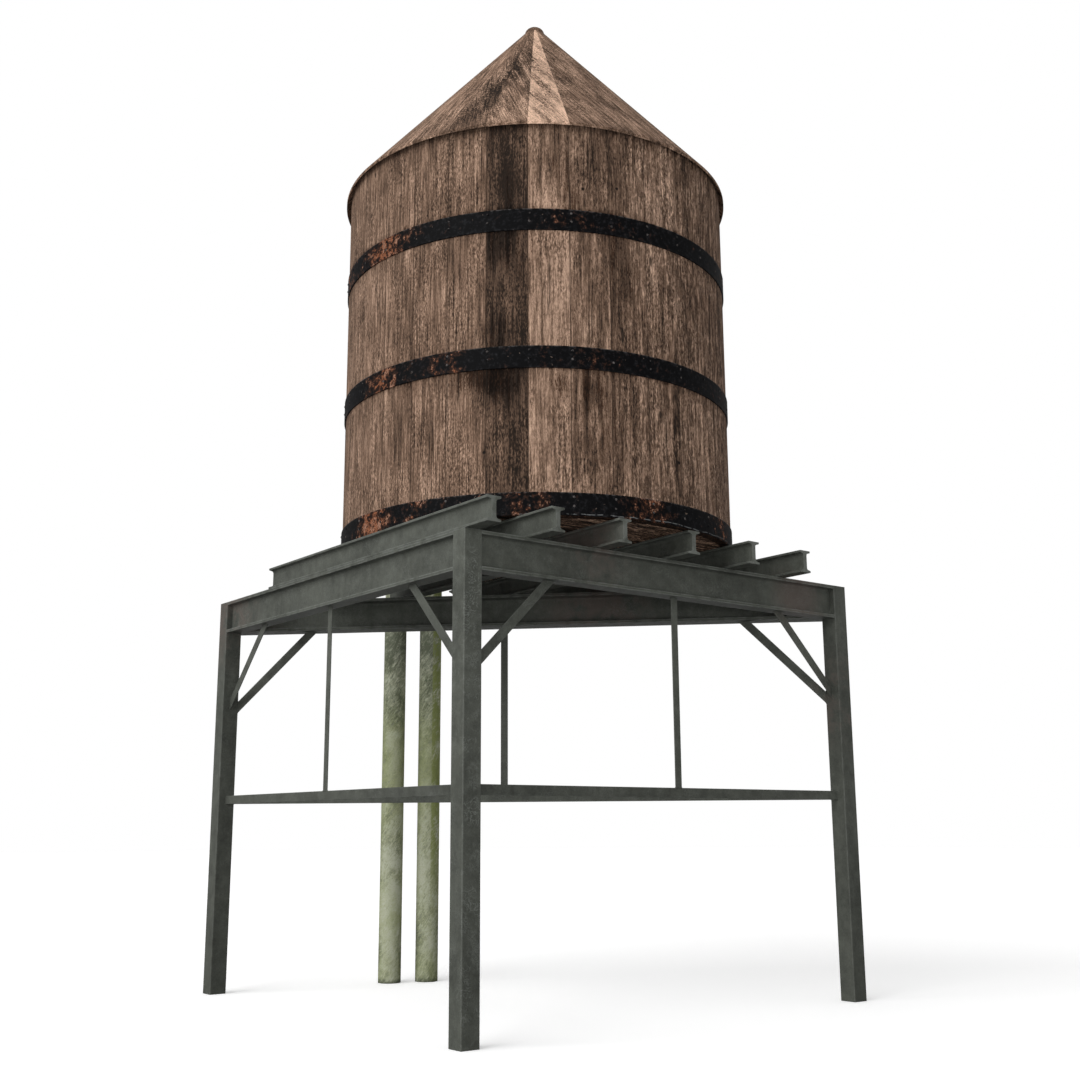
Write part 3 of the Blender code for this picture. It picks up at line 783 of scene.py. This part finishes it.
class TOWER_OT_staves(bpy.types.Operator):
    """Tank wall: staves bent to the tank's round"""
    bl_idname = "tower.staves"
    bl_label = "Staves"

    def execute(self, context):
        """Outline point (x, y) of a stave stands at angle + x / radius, radius - y."""
        wood = context.scene.tower_wood
        radius = HOOP_RADIUS - context.scene.tower_hoops.thickness - GAP
        spots = spot_places(WALL_SPOTS, lambda level: (radius, level))
        material = wood_finish("weathered staves", wood, contrast=1.22, spots=spots)
        width = TURN * radius / wood.count - wood.joint
        narrow = width * (radius - wood.stave) / radius
        outline, wear = board_outline(width, narrow, wood.stave, wood.ease)
        x, y = outline.T
        segments = 8
        each = wood.count // segments
        top = WALL_HIGH[2] - roof_slope(wood) * (wood.stave - y)
        rows = np.linspace(0, 1, 56)
        for number in range(segments):
            angles = board_angles(wood, number, each)
            tones = board_tones(wood, angles, STAVE_TONES_SEED + number, 0.055, 0.14, -0.31,
                                wood.dark_place)
            turn, height = np.broadcast_arrays(
                angles[:, None, None] + x * (1 - y / radius) / (radius - y),
                WALL_LOW[2] + rows[:, None] * (top - WALL_LOW[2]))
            points = round_axis(radius - y, turn, height)
            add_piece(f"staves_{number + 1}", points, tube_faces(*points.shape[:3], strips=True),
                      material, "tank_wood", [f"wall_segment_{number + 1}"],
                      grain=grain_values(STAVE_GRAIN_SEED + number, each, x, height, y),
                      gnarled=0.75 * near_angle(turn, math.radians(285), math.radians(45)),
                      tone=tones[:, None, None] + marks(WALL_TONES, turn, height),
                      stain=wall_stains_and_shade(turn, height), wear=wear)
        return {"FINISHED"}


def roof_slope(wood):
    return (ROOF_HIGH[2] - ROOF_LOW[2] - wood.roof_board) / (EAVE - wood.roof_hole)


def wall_stains_and_shade(turn, height):
    """Sum of smooth stains, plus dirt and painted shade just under each hoop and under the eave, and at the
    foot.
    """
    stain = marks(WALL_STAINS, turn, height)
    for node in ("middle_hoop", "upper_hoop"):
        low, high = corners_of(node)
        # Just under each hoop: dripped dirt and painted shade under the hoop.
        stain += 0.34 * np.exp(-np.clip(low[2] - height, 0, None) / 0.05) * (height < high[2])
        stain += 0.20 * np.exp(-np.clip(height - high[2], 0, None) / 0.03) * (height > low[2])
    # Just under the eave: dirt and painted shade under the roof.
    stain += 0.40 * np.exp(-np.clip(ROOF_LOW[2] - height, 0, None) / 0.05)
    # The staves' lowest 4 mm: dark end grain and painted shade under the tank.
    return stain + 1.5 * (height < WALL_LOW[2] + 0.004)


class TOWER_OT_floor_planks(bpy.types.Operator):
    """Tank floor: straight planks, cut to the tank's round"""
    bl_idname = "tower.floor_planks"
    bl_label = "Floor planks"

    def execute(self, context):
        """A plank's point at cross distance c and share s of its length is at s sqrt(R^2 - c^2)."""
        wood = context.scene.tower_wood
        radius = FLOOR_RADIUS
        count = int(2 * radius // wood.plank) + 1
        width = 2 * radius / count
        thickness = FLOOR_HIGH[2] - FLOOR_LOW[2]
        outline, wear = board_outline(width - wood.joint, width - wood.joint, thickness, wood.ease)
        centres = (np.arange(count) + 0.5) * width - radius
        share = np.linspace(-1, 1, 40)
        cross = np.clip(centres[:, None, None] + outline[:, 0], -radius * 0.9995, radius * 0.9995)
        along = share[:, None] * np.sqrt(radius ** 2 - cross ** 2)
        cross, along, height = np.broadcast_arrays(cross, along, FLOOR_LOW[2] + outline[:, 1])
        points = np.stack([AXIS[0] + along, AXIS[1] + cross, height], axis=-1)
        tones = 0.43 + 0.10 * spread_random(FLOOR_TONES_SEED, count)
        stain = 0.25 * np.exp(-(radius - np.hypot(along, cross)) / 0.06)
        add_piece("floor_planks", points, tube_faces(*points.shape[:3], strips=True),
                  wood_finish("damp floor planks", wood, 1.03, 1.0, 2.0), "tank_wood",
                  ["tank_floor"],
                  grain=grain_values(FLOOR_GRAIN_SEED, count, cross, along, height),
                  tone=tones[:, None, None], stain=stain, gnarled=0.8, wear=wear)
        return {"FINISHED"}


class TOWER_OT_hoops(bpy.types.Operator):
    """Iron hoops round the tank"""
    bl_idname = "tower.hoops"
    bl_label = "Hoops"

    def execute(self, context):
        """The eased flat section turned round the axis."""
        hoop = context.scene.tower_hoops
        material = hoop_finish("blackened iron", hoop, corners_of("lower_hoop")[0][2] + 0.016)
        turn = np.linspace(0, TURN, 256, endpoint=False)[:, None]
        for node in JOINT_PLACES:
            low, high = corners_of(node)
            tall = high[2] - low[2]
            # Wear is highest on the upper outer edge and least below: rubbed iron, and a painted highlight on
            # top.
            outline, wear = eased_outline([(0, tall), (hoop.thickness, tall), (hoop.thickness, 0),
                                           (0, 0)], [0.001, hoop.ease, hoop.ease, 0.001],
                                          [0.5, 1.0, 0.1, 0.0], 0.008)
            outline, wear = finer(outline, wear, 0.035)
            points = round_axis(HOOP_RADIUS - hoop.thickness + outline[:, 0], turn,
                                low[2] + outline[:, 1])
            rust = sum(strength * near_angle(turn, math.radians(angle), math.radians(reach))
                       for angle, reach, strength in RUST_PATCHES[node])
            chip = float(node == "lower_hoop") * near_angle(turn, math.radians(262), math.radians(42))
            add_piece(f"{node}_iron", points, grid_faces(1, *points.shape[:2]), material,
                      "hoop_iron", [node], rust=rust, chip=chip, wear=wear)
        return {"FINISHED"}


class TOWER_OT_hoop_joints(bpy.types.Operator):
    """Riveted plates over the ends of each hoop, at the back, and nails round every hoop"""
    bl_idname = "tower.hoop_joints"
    bl_label = "Hoop joints and nails"

    def execute(self, context):
        """A flat section turned through a short angle, with domes on it for rivets and nails."""
        hoop = context.scene.tower_hoops
        material = bpy.data.materials["blackened iron"]
        edge = 0.006
        feet = np.array([corners_of(node)[0][2] for node in JOINT_PLACES])[:, None]
        places = np.radians(list(JOINT_PLACES.values()))[:, None]
        section, wear = eased_outline([(0, HOOP_TALL - edge), (hoop.plate, HOOP_TALL - edge),
                                       (hoop.plate, edge), (0, edge)],
                                      [0.001, hoop.ease, hoop.ease, 0.001], [0.3, 1.0, 1.0, 0.3], edge)
        share = np.array((-1, -0.99, -0.97, -0.6, -0.2, 0.2, 0.6, 0.97, 0.99, 1.0))
        thick = np.array((0.4, 0.8, 1, 1, 1, 1, 1, 1, 0.8, 0.4))[:, None]
        surface = HOOP_RADIUS + GAP
        points = round_axis(surface + section[:, 0] * thick,
                            (places + hoop.joint / 2 / HOOP_RADIUS * share)[..., None],
                            feet[..., None] + section[:, 1])
        add_piece("hoop_joints", points, tube_faces(*points.shape[:3]), material, "hoop_iron",
                  rust=0.40, wear=wear)

        beside, above = (v.ravel() for v in np.meshgrid((-0.3, 0.3), (0.2, 0.5, 0.8)))
        points = dome_points(places + hoop.joint / HOOP_RADIUS * beside, feet + HOOP_TALL * above,
                             surface + hoop.plate + GAP, hoop.rivet)
        add_piece("hoop_rivets", points, tube_faces(*points.shape[:3]), material, "hoop_iron",
                  rust=0.45, wear=0.5)

        count = context.scene.tower_wood.count
        beside = (np.arange(count) + 0.5) * TURN / count + hoop.nail_shift / HOOP_RADIUS
        turn, above = (v.ravel() for v in np.meshgrid(beside, NAIL_LEVELS))
        points = dome_points(turn, feet + HOOP_TALL * above, surface, hoop.nail)
        add_piece("hoop_nails", points, tube_faces(*points.shape[:3]), material, "hoop_iron",
                  rust=-0.2, wear=1.6)
        return {"FINISHED"}


class TOWER_OT_roof_boards(bpy.types.Operator):
    """Conical roof: tapering boards from the eave to the tip"""
    bl_idname = "tower.roof_boards"
    bl_label = "Roof boards"

    def execute(self, context):
        """A board's point at distance r from the axis stands at angle + x / r, lowered by y.

        The grain runs one way over each unrolled board, where a turn is divided by
        sqrt(1 + slope^2): along it, or leaning near the pale board.
        """
        wood = context.scene.tower_wood
        quarters = 4
        each = wood.count // quarters
        slope = roof_slope(wood)

        def top_at(far):
            return ROOF_HIGH[2] - slope * (far - wood.roof_hole)

        spots = spot_places(ROOF_SPOTS, lambda far: (far, top_at(far)))
        material = wood_finish("weathered roof boards", wood, 1.0, 1.16, 1.50, spots, swirl=3.0, fine=1.2)
        width = TURN * EAVE / wood.count - wood.joint
        outline, wear = board_outline(width, width, wood.roof_board, 0.4 * wood.ease)
        distance = (wood.roof_hole + (EAVE - wood.roof_hole) * np.linspace(0, 1, 44)[::-1])[:, None]
        x = outline[:, 0] * distance / EAVE
        y = outline[:, 1]
        steep = math.hypot(1, slope)
        for number in range(quarters):
            angles = board_angles(wood, number, each)
            tones = board_tones(wood, angles, ROOF_TONES_SEED + number, 0.03, 0.66, -0.14,
                                wood.roof_dark_place)
            turn, height, far, deep = np.broadcast_arrays(
                angles[:, None, None] + x / distance, top_at(distance) - y, distance, y)
            points = round_axis(far, turn, height)
            lean = wood.roof_lean * near_angle(angles, wood.pale_place, math.radians(30))
            unrolled = (turn - (angles + lean)[:, None, None]) / steep
            along = far * steep * np.cos(unrolled) + 7.3 * angles[:, None, None]
            across = far * steep * np.sin(unrolled) + 3.1 * angles[:, None, None]
            stain = 0.30 * np.exp(-(EAVE - far) / 0.03) + 0.30 * np.exp(-far / 0.10)
            add_piece(f"roof_boards_{number + 1}", points, tube_faces(*points.shape[:3], strips=True),
                      material, "roof_wood", [f"roof_quarter_{number + 1}"],
                      grain=np.stack([across, along, deep], axis=-1),
                      gnarled=marks(ROOF_GNARLS, turn, far), stain=stain, wear=0.3 * wear,
                      tone=tones[:, None, None] + marks(ROOF_TONES, turn, far))
        return {"FINISHED"}


class TOWER_OT_roof_tip(bpy.types.Operator):
    """Rounded wooden tip over the ends of the roof boards"""
    bl_idname = "tower.roof_tip"
    bl_label = "Roof tip"

    def execute(self, context):
        """A dome, radius R sin t at height h cos t, with a rounded lip, turned round the axis."""
        wood = context.scene.tower_wood
        low, high = corners_of("roof_cap")
        radius = (high[0] - low[0]) / 2
        lip = 0.006
        t = np.linspace(0.02, 1, 16) * math.pi / 2
        under = (radius - wood.roof_hole) * roof_slope(wood)
        distance = np.concatenate([radius * np.sin(t), [radius, radius * 0.97, wood.roof_hole, 0.002]])
        height = low[2] + np.concatenate([lip + (high[2] - low[2] - lip) * np.cos(t),
                                          [lip * 0.5, lip * 0.1, under, under]])
        turn = np.linspace(0, TURN, 64, endpoint=False)
        points = round_axis(distance[:, None], turn, height[:, None])[::-1]
        level = points[..., 2]
        grain = points[..., (0, 2, 1)] - (AXIS[0], 0, AXIS[1])
        add_piece("roof_tip", points, tube_faces(1, *points.shape[:2]),
                  wood_finish("worn roof tip", wood), "roof_wood", ["roof_cap"], grain=grain,
                  tone=0.46, wear=0.0,
                  stain=0.90 * swell(level, high[2], 0.03) + 0.5 * (level < low[2] + lip))
        return {"FINISHED"}


def add_bar(name, material, outline, wear, origin, side, run, start, end, scratched=0.35):
    points, worn = bar_points(outline, wear, origin, side, run, start, end)
    add_piece(f"{name}_steel", points[None], tube_faces(1, *points.shape[:2]), material,
              "painted_steel", [name], wear=worn, scratched=scratched)


def steel_material(steel):
    return bpy.data.materials.get("painted steel") or steel_finish("painted steel", steel)


class TOWER_OT_legs(bpy.types.Operator):
    """Three square legs"""
    bl_idname = "tower.legs"
    bl_label = "Legs"

    def execute(self, context):
        material = steel_material(context.scene.tower_steel)
        outline, wear = box_outline(LEG, LEG, 0.008)
        right_face = outline[:, 1] < 0.01 - LEG / 2
        for node, scratched in (("front_leg", 1.0), ("left_leg", 0.30), ("right_leg", 0.25)):
            low, high = corners_of(node)
            add_bar(node, material, outline, wear, foot_of(node), np.array((1.0, 0, 0)), UP,
                    (low, UP), (high, UP), scratched * np.where(right_face, 1.0, 0.5))
        return {"FINISHED"}


def frame_sides():
    """Each side of the frame: name, both legs, the first one's foot, run, plane of each leg's face."""
    legs = {name: foot_of(f"{name}_leg") for name in ("front", "left", "right")}
    half = LEG / 2 + GAP
    corner = (LEG - LEG_CHAMFER) / math.sqrt(2) + GAP
    sides = []
    for name, first, last in (("front_left", "front", "left"), ("front_right", "front", "right"),
                              ("back", "left", "right")):
        run = legs[last] - legs[first]
        run /= np.linalg.norm(run)
        reach = corner if name == "back" else half
        sides.append((name, first, last, legs[first], run, (legs[first] + run * reach, run),
                      (legs[last] - run * reach, run)))
    return sides


class TOWER_OT_beams(bpy.types.Operator):
    """Three main beams between the legs, and the joists on them"""
    bl_idname = "tower.beams"
    bl_label = "Beams and joists"

    def execute(self, context):
        steel = context.scene.tower_steel
        material = steel_material(steel)
        depth = corners_of("front_left_beam")[1][2] - BEAM_UNDER
        for name, first, last, foot, run, start, end in frame_sides():
            width = LEG
            if name == "back":
                width = LEG * math.sqrt(2)
                start = (corners_of("left_leg")[1] + GAP, np.array((1.0, 0, 0)))
                end = (corners_of("right_leg")[1] + GAP, np.array((0, 1.0, 0)))
            outline, wear = i_outline(width, depth, steel.beam_tip, steel.beam_root, steel.beam_web)
            add_bar(f"{name}_beam", material, outline, wear, foot + UP * BEAM_UNDER,
                    np.cross(UP, run), run, start, end)
        run = np.array((0, 1.0, 0))
        for number in range(1, 7):
            node = f"joist_{number}"
            low, high = corners_of(node)
            outline, wear = i_outline(high[0] - low[0], high[2] - low[2], steel.joist_tip,
                                      steel.joist_root, steel.joist_web)
            add_bar(node, material, outline, wear, foot_of(node) + UP * low[2], np.cross(UP, run), run,
                    (low, run), (high, run))
        return {"FINISHED"}


class TOWER_OT_flat_bars(bpy.types.Operator):
    """Rails, hangers and knee braces"""
    bl_idname = "tower.flat_bars"
    bl_label = "Rails, hangers and braces"

    def execute(self, context):
        steel = context.scene.tower_steel
        material = steel_material(steel)
        rail = box_outline(steel.bar_thickness, steel.bar)
        strap = box_outline(steel.bar_thickness, steel.hanger)
        under = (UP * (BEAM_UNDER - GAP), UP)
        bars = []
        for name, first, last, foot, run, start, end in frame_sides():
            side = np.cross(UP, run)
            low, high = corners_of(f"{name}_rail")
            bars.append((f"{name}_rail", *rail, foot + UP * (low[2] + high[2]) / 2, side, run,
                         start, end))
            node = f"{name}_hanger"
            low, high = corners_of(node)
            bars.append((node, *strap, foot_of(node), side, UP, (low, UP), (high, UP)))
            for leg, plane, way in ((first, start, run), (last, end, -run)):
                node = f"{leg}_leg_{name}_brace"
                low, high = corners_of(node)
                reach = high[2] - low[2] - steel.bar / math.sqrt(2) + 2 * GAP
                bars.append((node, *rail, plane[0] * (1, 1, 0) + UP * (BEAM_UNDER - reach),
                             np.cross(UP, way), (way + UP) / math.sqrt(2), plane, under))
        beads = []
        for name, outline, wear, origin, side, run, start, end in bars:
            add_bar(name, material, outline, wear, origin, side, run, start, end)
            beads += [bead_points(outline, origin, side, run, plane, steel.weld)
                      for plane in (start, end)]
        beads = np.stack(beads)
        add_piece("bar_welds", beads, grid_faces(*beads.shape[:3]), material, "painted_steel",
                  wear=0.3, scratched=0.0)
        return {"FINISHED"}


class TOWER_OT_riser_pipes(bpy.types.Operator):
    """Two riser pipes that bend over into the tank"""
    bl_idname = "tower.riser_pipes"
    bl_label = "Riser pipes"

    def execute(self, context):
        """A circle carried up a line, round a quarter turn and level to the tank's wall.

        On the last station each point goes on to the wall: its distance from the axis is
        sqrt(R^2 - c^2), with c its distance to the side. The collars lie on the wall by the same
        formula, with their own thickness added to R.
        """
        pipe = context.scene.tower_pipes
        material = pipe_finish("stained pipe coat", pipe)
        wall = HOOP_RADIUS - context.scene.tower_hoops.thickness + GAP
        level = FLOOR_LOW[2] + pipe.inlet
        around = np.linspace(0, TURN, 56, endpoint=False)
        ease = 0.004
        rise = np.concatenate([[0, 0.3 * ease, ease], np.linspace(0.05, level - pipe.bend, 40)])
        quarter = np.linspace(0, math.pi / 2, 15)[1:]
        gone = np.concatenate([0 * rise, pipe.bend * (1 - np.cos(quarter))])[:, None]
        risen = np.concatenate([rise, level - pipe.bend * (1 - np.sin(quarter))])[:, None]
        lean = np.concatenate([0 * rise, quarter])[:, None]
        size = np.full(risen.shape, pipe.radius)
        size[:2, 0] -= (ease, 0.3 * ease)
        forward = size * np.cos(around)
        beside = size * np.sin(around)
        travel = gone + forward * np.cos(lean)
        height = risen - forward * np.sin(lean)
        share = np.linspace(0.1, 1, 8)[:, None]
        height = np.concatenate([height, np.repeat(height[-1:], 8, axis=0)])
        beside = np.concatenate([beside, np.repeat(beside[-1:], 8, axis=0)])
        bore = pipe.radius + GAP
        section, wear = eased_outline([(bore, 0), (bore, pipe.collar_thickness),
                                       (pipe.collar, pipe.collar_thickness), (pipe.collar, 0)],
                                      [0.001, 0.002, 0.004, 0.001], 0.0, 0.002)
        collars = []
        for node, moss in (("left_riser_pipe", 0.0), ("right_riser_pipe", 1.0)):
            foot = pipe_foot(node)
            to_axis = np.linalg.norm(AXIS - foot)
            inward = (AXIS - foot) / to_axis
            side = np.cross(UP, inward)

            def stand(*steps):
                """Points so far inward, so far to the side and so high."""
                return foot + sum(step[..., None] * way for step, way in zip(steps, (inward, side, UP)))

            end = to_axis - np.sqrt(wall ** 2 - beside[-1:] ** 2)
            points = stand(np.concatenate([travel, travel[-1:] + share * (end - travel[-1:])]),
                           beside, height)
            outward = np.cos(around)[:, None] * inward + np.sin(around)[:, None] * side
            facing = np.arctan2(outward[:, 1], outward[:, 0])
            strip = np.abs((facing - math.radians(MOSS_PLACE) + math.pi) % TURN - math.pi)
            green = moss * np.clip((math.radians(MOSS_REACH) - strip) / math.radians(4), 0, 1)
            sides = np.abs(np.sin(facing - math.radians(PIPE_FRONT)))
            # Dirt, and painted shade under the tank: the table's first row and the step above 3.9 m.
            grime = (0.12 + swells(PIPE_GRIME_AND_SHADE, height) + 0.25 * (height > 3.9)
                     # Painted shade on the pipes' flanks near the foot, as seen from their front.
                     + 0.62 * sides ** 4 * swell(height, 0.42, 0.28)
                     # The left pipe's own dirt and paler patch, and a painted contact shadow just above the
                     # floor.
                     + (1 - moss) * swells(LEFT_PIPE_GRIME, height) + 0.9 * np.exp(-height / 0.03))
            tinge = (0.36 + 0.42 * swell(height, 2.2, 0.5) + 0.22 * sides ** 3
                     + 0.20 * swell(height, 0, 0.3))
            add_piece(f"{node}_steel", points[None], tube_faces(1, *points.shape[:2]), material,
                      "stained_pipe", [node], grime=grime, tinge=tinge,
                      moss=green * np.clip((height - 0.6) / 0.8, 0.2, 1))
            across = section[:, 0] * np.sin(around)[:, None]
            collars.append(stand(to_axis - np.sqrt((wall + section[:, 1]) ** 2 - across ** 2), across,
                                 level + section[:, 0] * np.cos(around)[:, None]))
        collars = np.stack(collars)
        add_piece("pipe_collars", collars, grid_faces(*collars.shape[:3]), material, "stained_pipe",
                  grime=0.55, tinge=0.40, moss=0.0)
        return {"FINISHED"}


def pipe_foot(node):
    """Centre of the pipe's foot: its mesh's lowest points, averaged."""
    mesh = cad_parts[node].data
    spots = np.zeros(len(mesh.vertices) * 3)
    mesh.vertices.foreach_get("co", spots)
    spots = spots.reshape(-1, 3)
    low = spots[spots[:, 2] < 0.001]
    return (low.min(axis=0) + low.max(axis=0)) / 2 * (1, 1, 0)


def add_light(name, kind, energy, towards, **settings):
    """A light at the origin whose back looks along a direction."""
    lamp = bpy.data.lights.new(name, kind)
    lamp.energy = energy
    for key, value in settings.items():
        setattr(lamp, key, value)
    light = bpy.data.objects.new(name, lamp)
    light.rotation_euler = Vector(towards).to_track_quat("Z", "Y").to_euler()
    bpy.context.scene.collection.objects.link(light)
    return light


class TOWER_OT_stage(bpy.types.Operator):
    """Pale floor, soft light and the camera"""
    bl_idname = "tower.stage"
    bl_label = "Floor, light and camera"

    def execute(self, context):
        stage = context.scene.tower_stage
        scene = context.scene
        mesh = bpy.data.meshes.new("floor")
        turn = np.linspace(0, TURN, 96, endpoint=False)
        rim = np.stack([90 * np.cos(turn), 90 * np.sin(turn), 0 * turn - 0.001], axis=-1)
        mesh.from_pydata(rim.tolist(), [], [list(range(96))])
        f = Finish("pale floor")
        even = f.noise(f.place(), 0.4, detail=2)
        shade = f.mix(f.product(even, 0.05), stage.floor, (0.80, 0.80, 0.80))
        seen = f.node("LightPath", {}, "Is Camera Ray")
        away = f.vector("LENGTH", f.place(), output="Value")
        thrown_up = f.mix(f.band(away, stage.shade_reach, 2.2 * stage.shade_reach), stage.bounce, stage.floor)
        shade = f.mix(seen, thrown_up, shade)
        mesh.materials.append(f.finish(shade, 0.9, even, bump=0.02, specular=0.1))
        f.feed(f.shader.inputs["Emission Color"], (1, 1, 1))
        f.feed(f.shader.inputs["Emission Strength"], f.product(seen, 0.36))
        floor = bpy.data.objects.new("floor", mesh)
        scene.collection.objects.link(floor)

        world = bpy.data.worlds.new("soft sky")
        world.use_nodes = True
        nodes = world.node_tree.nodes
        links = world.node_tree.links
        light = nodes["Background"]
        light.inputs["Color"].default_value = (1.0, 1.0, 1.0, 1)
        light.inputs["Strength"].default_value = stage.sky
        seen = nodes.new("ShaderNodeBackground")
        seen.inputs["Color"].default_value = (1, 1, 1, 1)
        ray = nodes.new("ShaderNodeLightPath")
        mixed = nodes.new("ShaderNodeMixShader")
        links.new(ray.outputs["Is Camera Ray"], mixed.inputs[0])
        links.new(light.outputs[0], mixed.inputs[1])
        links.new(seen.outputs[0], mixed.inputs[2])
        links.new(mixed.outputs[0], nodes["World Output"].inputs["Surface"])
        scene.world = world
        scene.view_settings.view_transform = "Standard"

        add_light("key", "SUN", stage.key, (-0.88, -0.08, 0.46), angle=math.radians(60))
        fill = add_light("fill", "AREA", stage.fill, (-0.45, -0.89, -0.12), shape="RECTANGLE",
                         size=8.0, size_y=2.0)
        fill.location = (-9.0, -17.8, 1.1)
        fill.visible_camera = False

        view = bpy.data.cameras.new("camera")
        view.sensor_width = 36
        view.lens = stage.lens
        view.clip_end = 300
        camera = bpy.data.objects.new("camera", view)
        level = Vector((math.cos(stage.heading), math.sin(stage.heading), 0))
        right = Vector((math.sin(stage.heading), -math.cos(stage.heading), 0))
        ahead = math.cos(stage.tilt) * level + math.sin(stage.tilt) * Vector(UP)
        above = -math.sin(stage.tilt) * level + math.cos(stage.tilt) * Vector(UP)
        side = math.cos(stage.roll) * right + math.sin(stage.roll) * above
        top = -math.sin(stage.roll) * right + math.cos(stage.roll) * above
        turned = Matrix((side, top, -ahead)).transposed().to_4x4()
        camera.matrix_world = Matrix.Translation(stage.eye) @ turned
        scene.collection.objects.link(camera)
        scene.camera = camera
        return {"FINISHED"}


OPERATORS = (TOWER_OT_staves, TOWER_OT_floor_planks, TOWER_OT_hoops, TOWER_OT_hoop_joints,
             TOWER_OT_roof_boards, TOWER_OT_roof_tip, TOWER_OT_legs, TOWER_OT_beams,
             TOWER_OT_flat_bars, TOWER_OT_riser_pipes, TOWER_OT_stage)
SETTINGS = {"tower_wood": WoodSettings, "tower_hoops": HoopSettings, "tower_steel": SteelSettings,
            "tower_pipes": PipeSettings, "tower_stage": StageSettings}


class TOWER_PT_panel(bpy.types.Panel):
    """Buttons and settings for each part of the tower"""
    bl_idname = "TOWER_PT_panel"
    bl_label = "Water tower"
    bl_space_type = "VIEW_3D"
    bl_region_type = "UI"
    bl_category = "Water tower"

    def draw(self, context):
        for operator in OPERATORS:
            self.layout.operator(operator.bl_idname)
        for name, group in SETTINGS.items():
            box = self.layout.box()
            for key in group.__annotations__:
                box.prop(getattr(context.scene, name), key)


def register():
    for group in SETTINGS.values():
        bpy.utils.register_class(group)
    for name, group in SETTINGS.items():
        setattr(bpy.types.Scene, name, PointerProperty(type=group))
    for thing in OPERATORS + (TOWER_PT_panel,):
        bpy.utils.register_class(thing)


def unregister():
    for thing in reversed(OPERATORS + (TOWER_PT_panel,)):
        bpy.utils.unregister_class(thing)
    for name in SETTINGS:
        delattr(bpy.types.Scene, name)
    for group in SETTINGS.values():
        bpy.utils.unregister_class(group)


def main():
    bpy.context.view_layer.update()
    register()
    bpy.ops.tower.staves()
    bpy.ops.tower.floor_planks()
    bpy.ops.tower.hoops()
    bpy.ops.tower.hoop_joints()
    bpy.ops.tower.roof_boards()
    bpy.ops.tower.roof_tip()
    bpy.ops.tower.legs()
    bpy.ops.tower.beams()
    bpy.ops.tower.flat_bars()
    bpy.ops.tower.riser_pipes()
    bpy.ops.tower.stage()


if __name__ == "__main__":
    main()
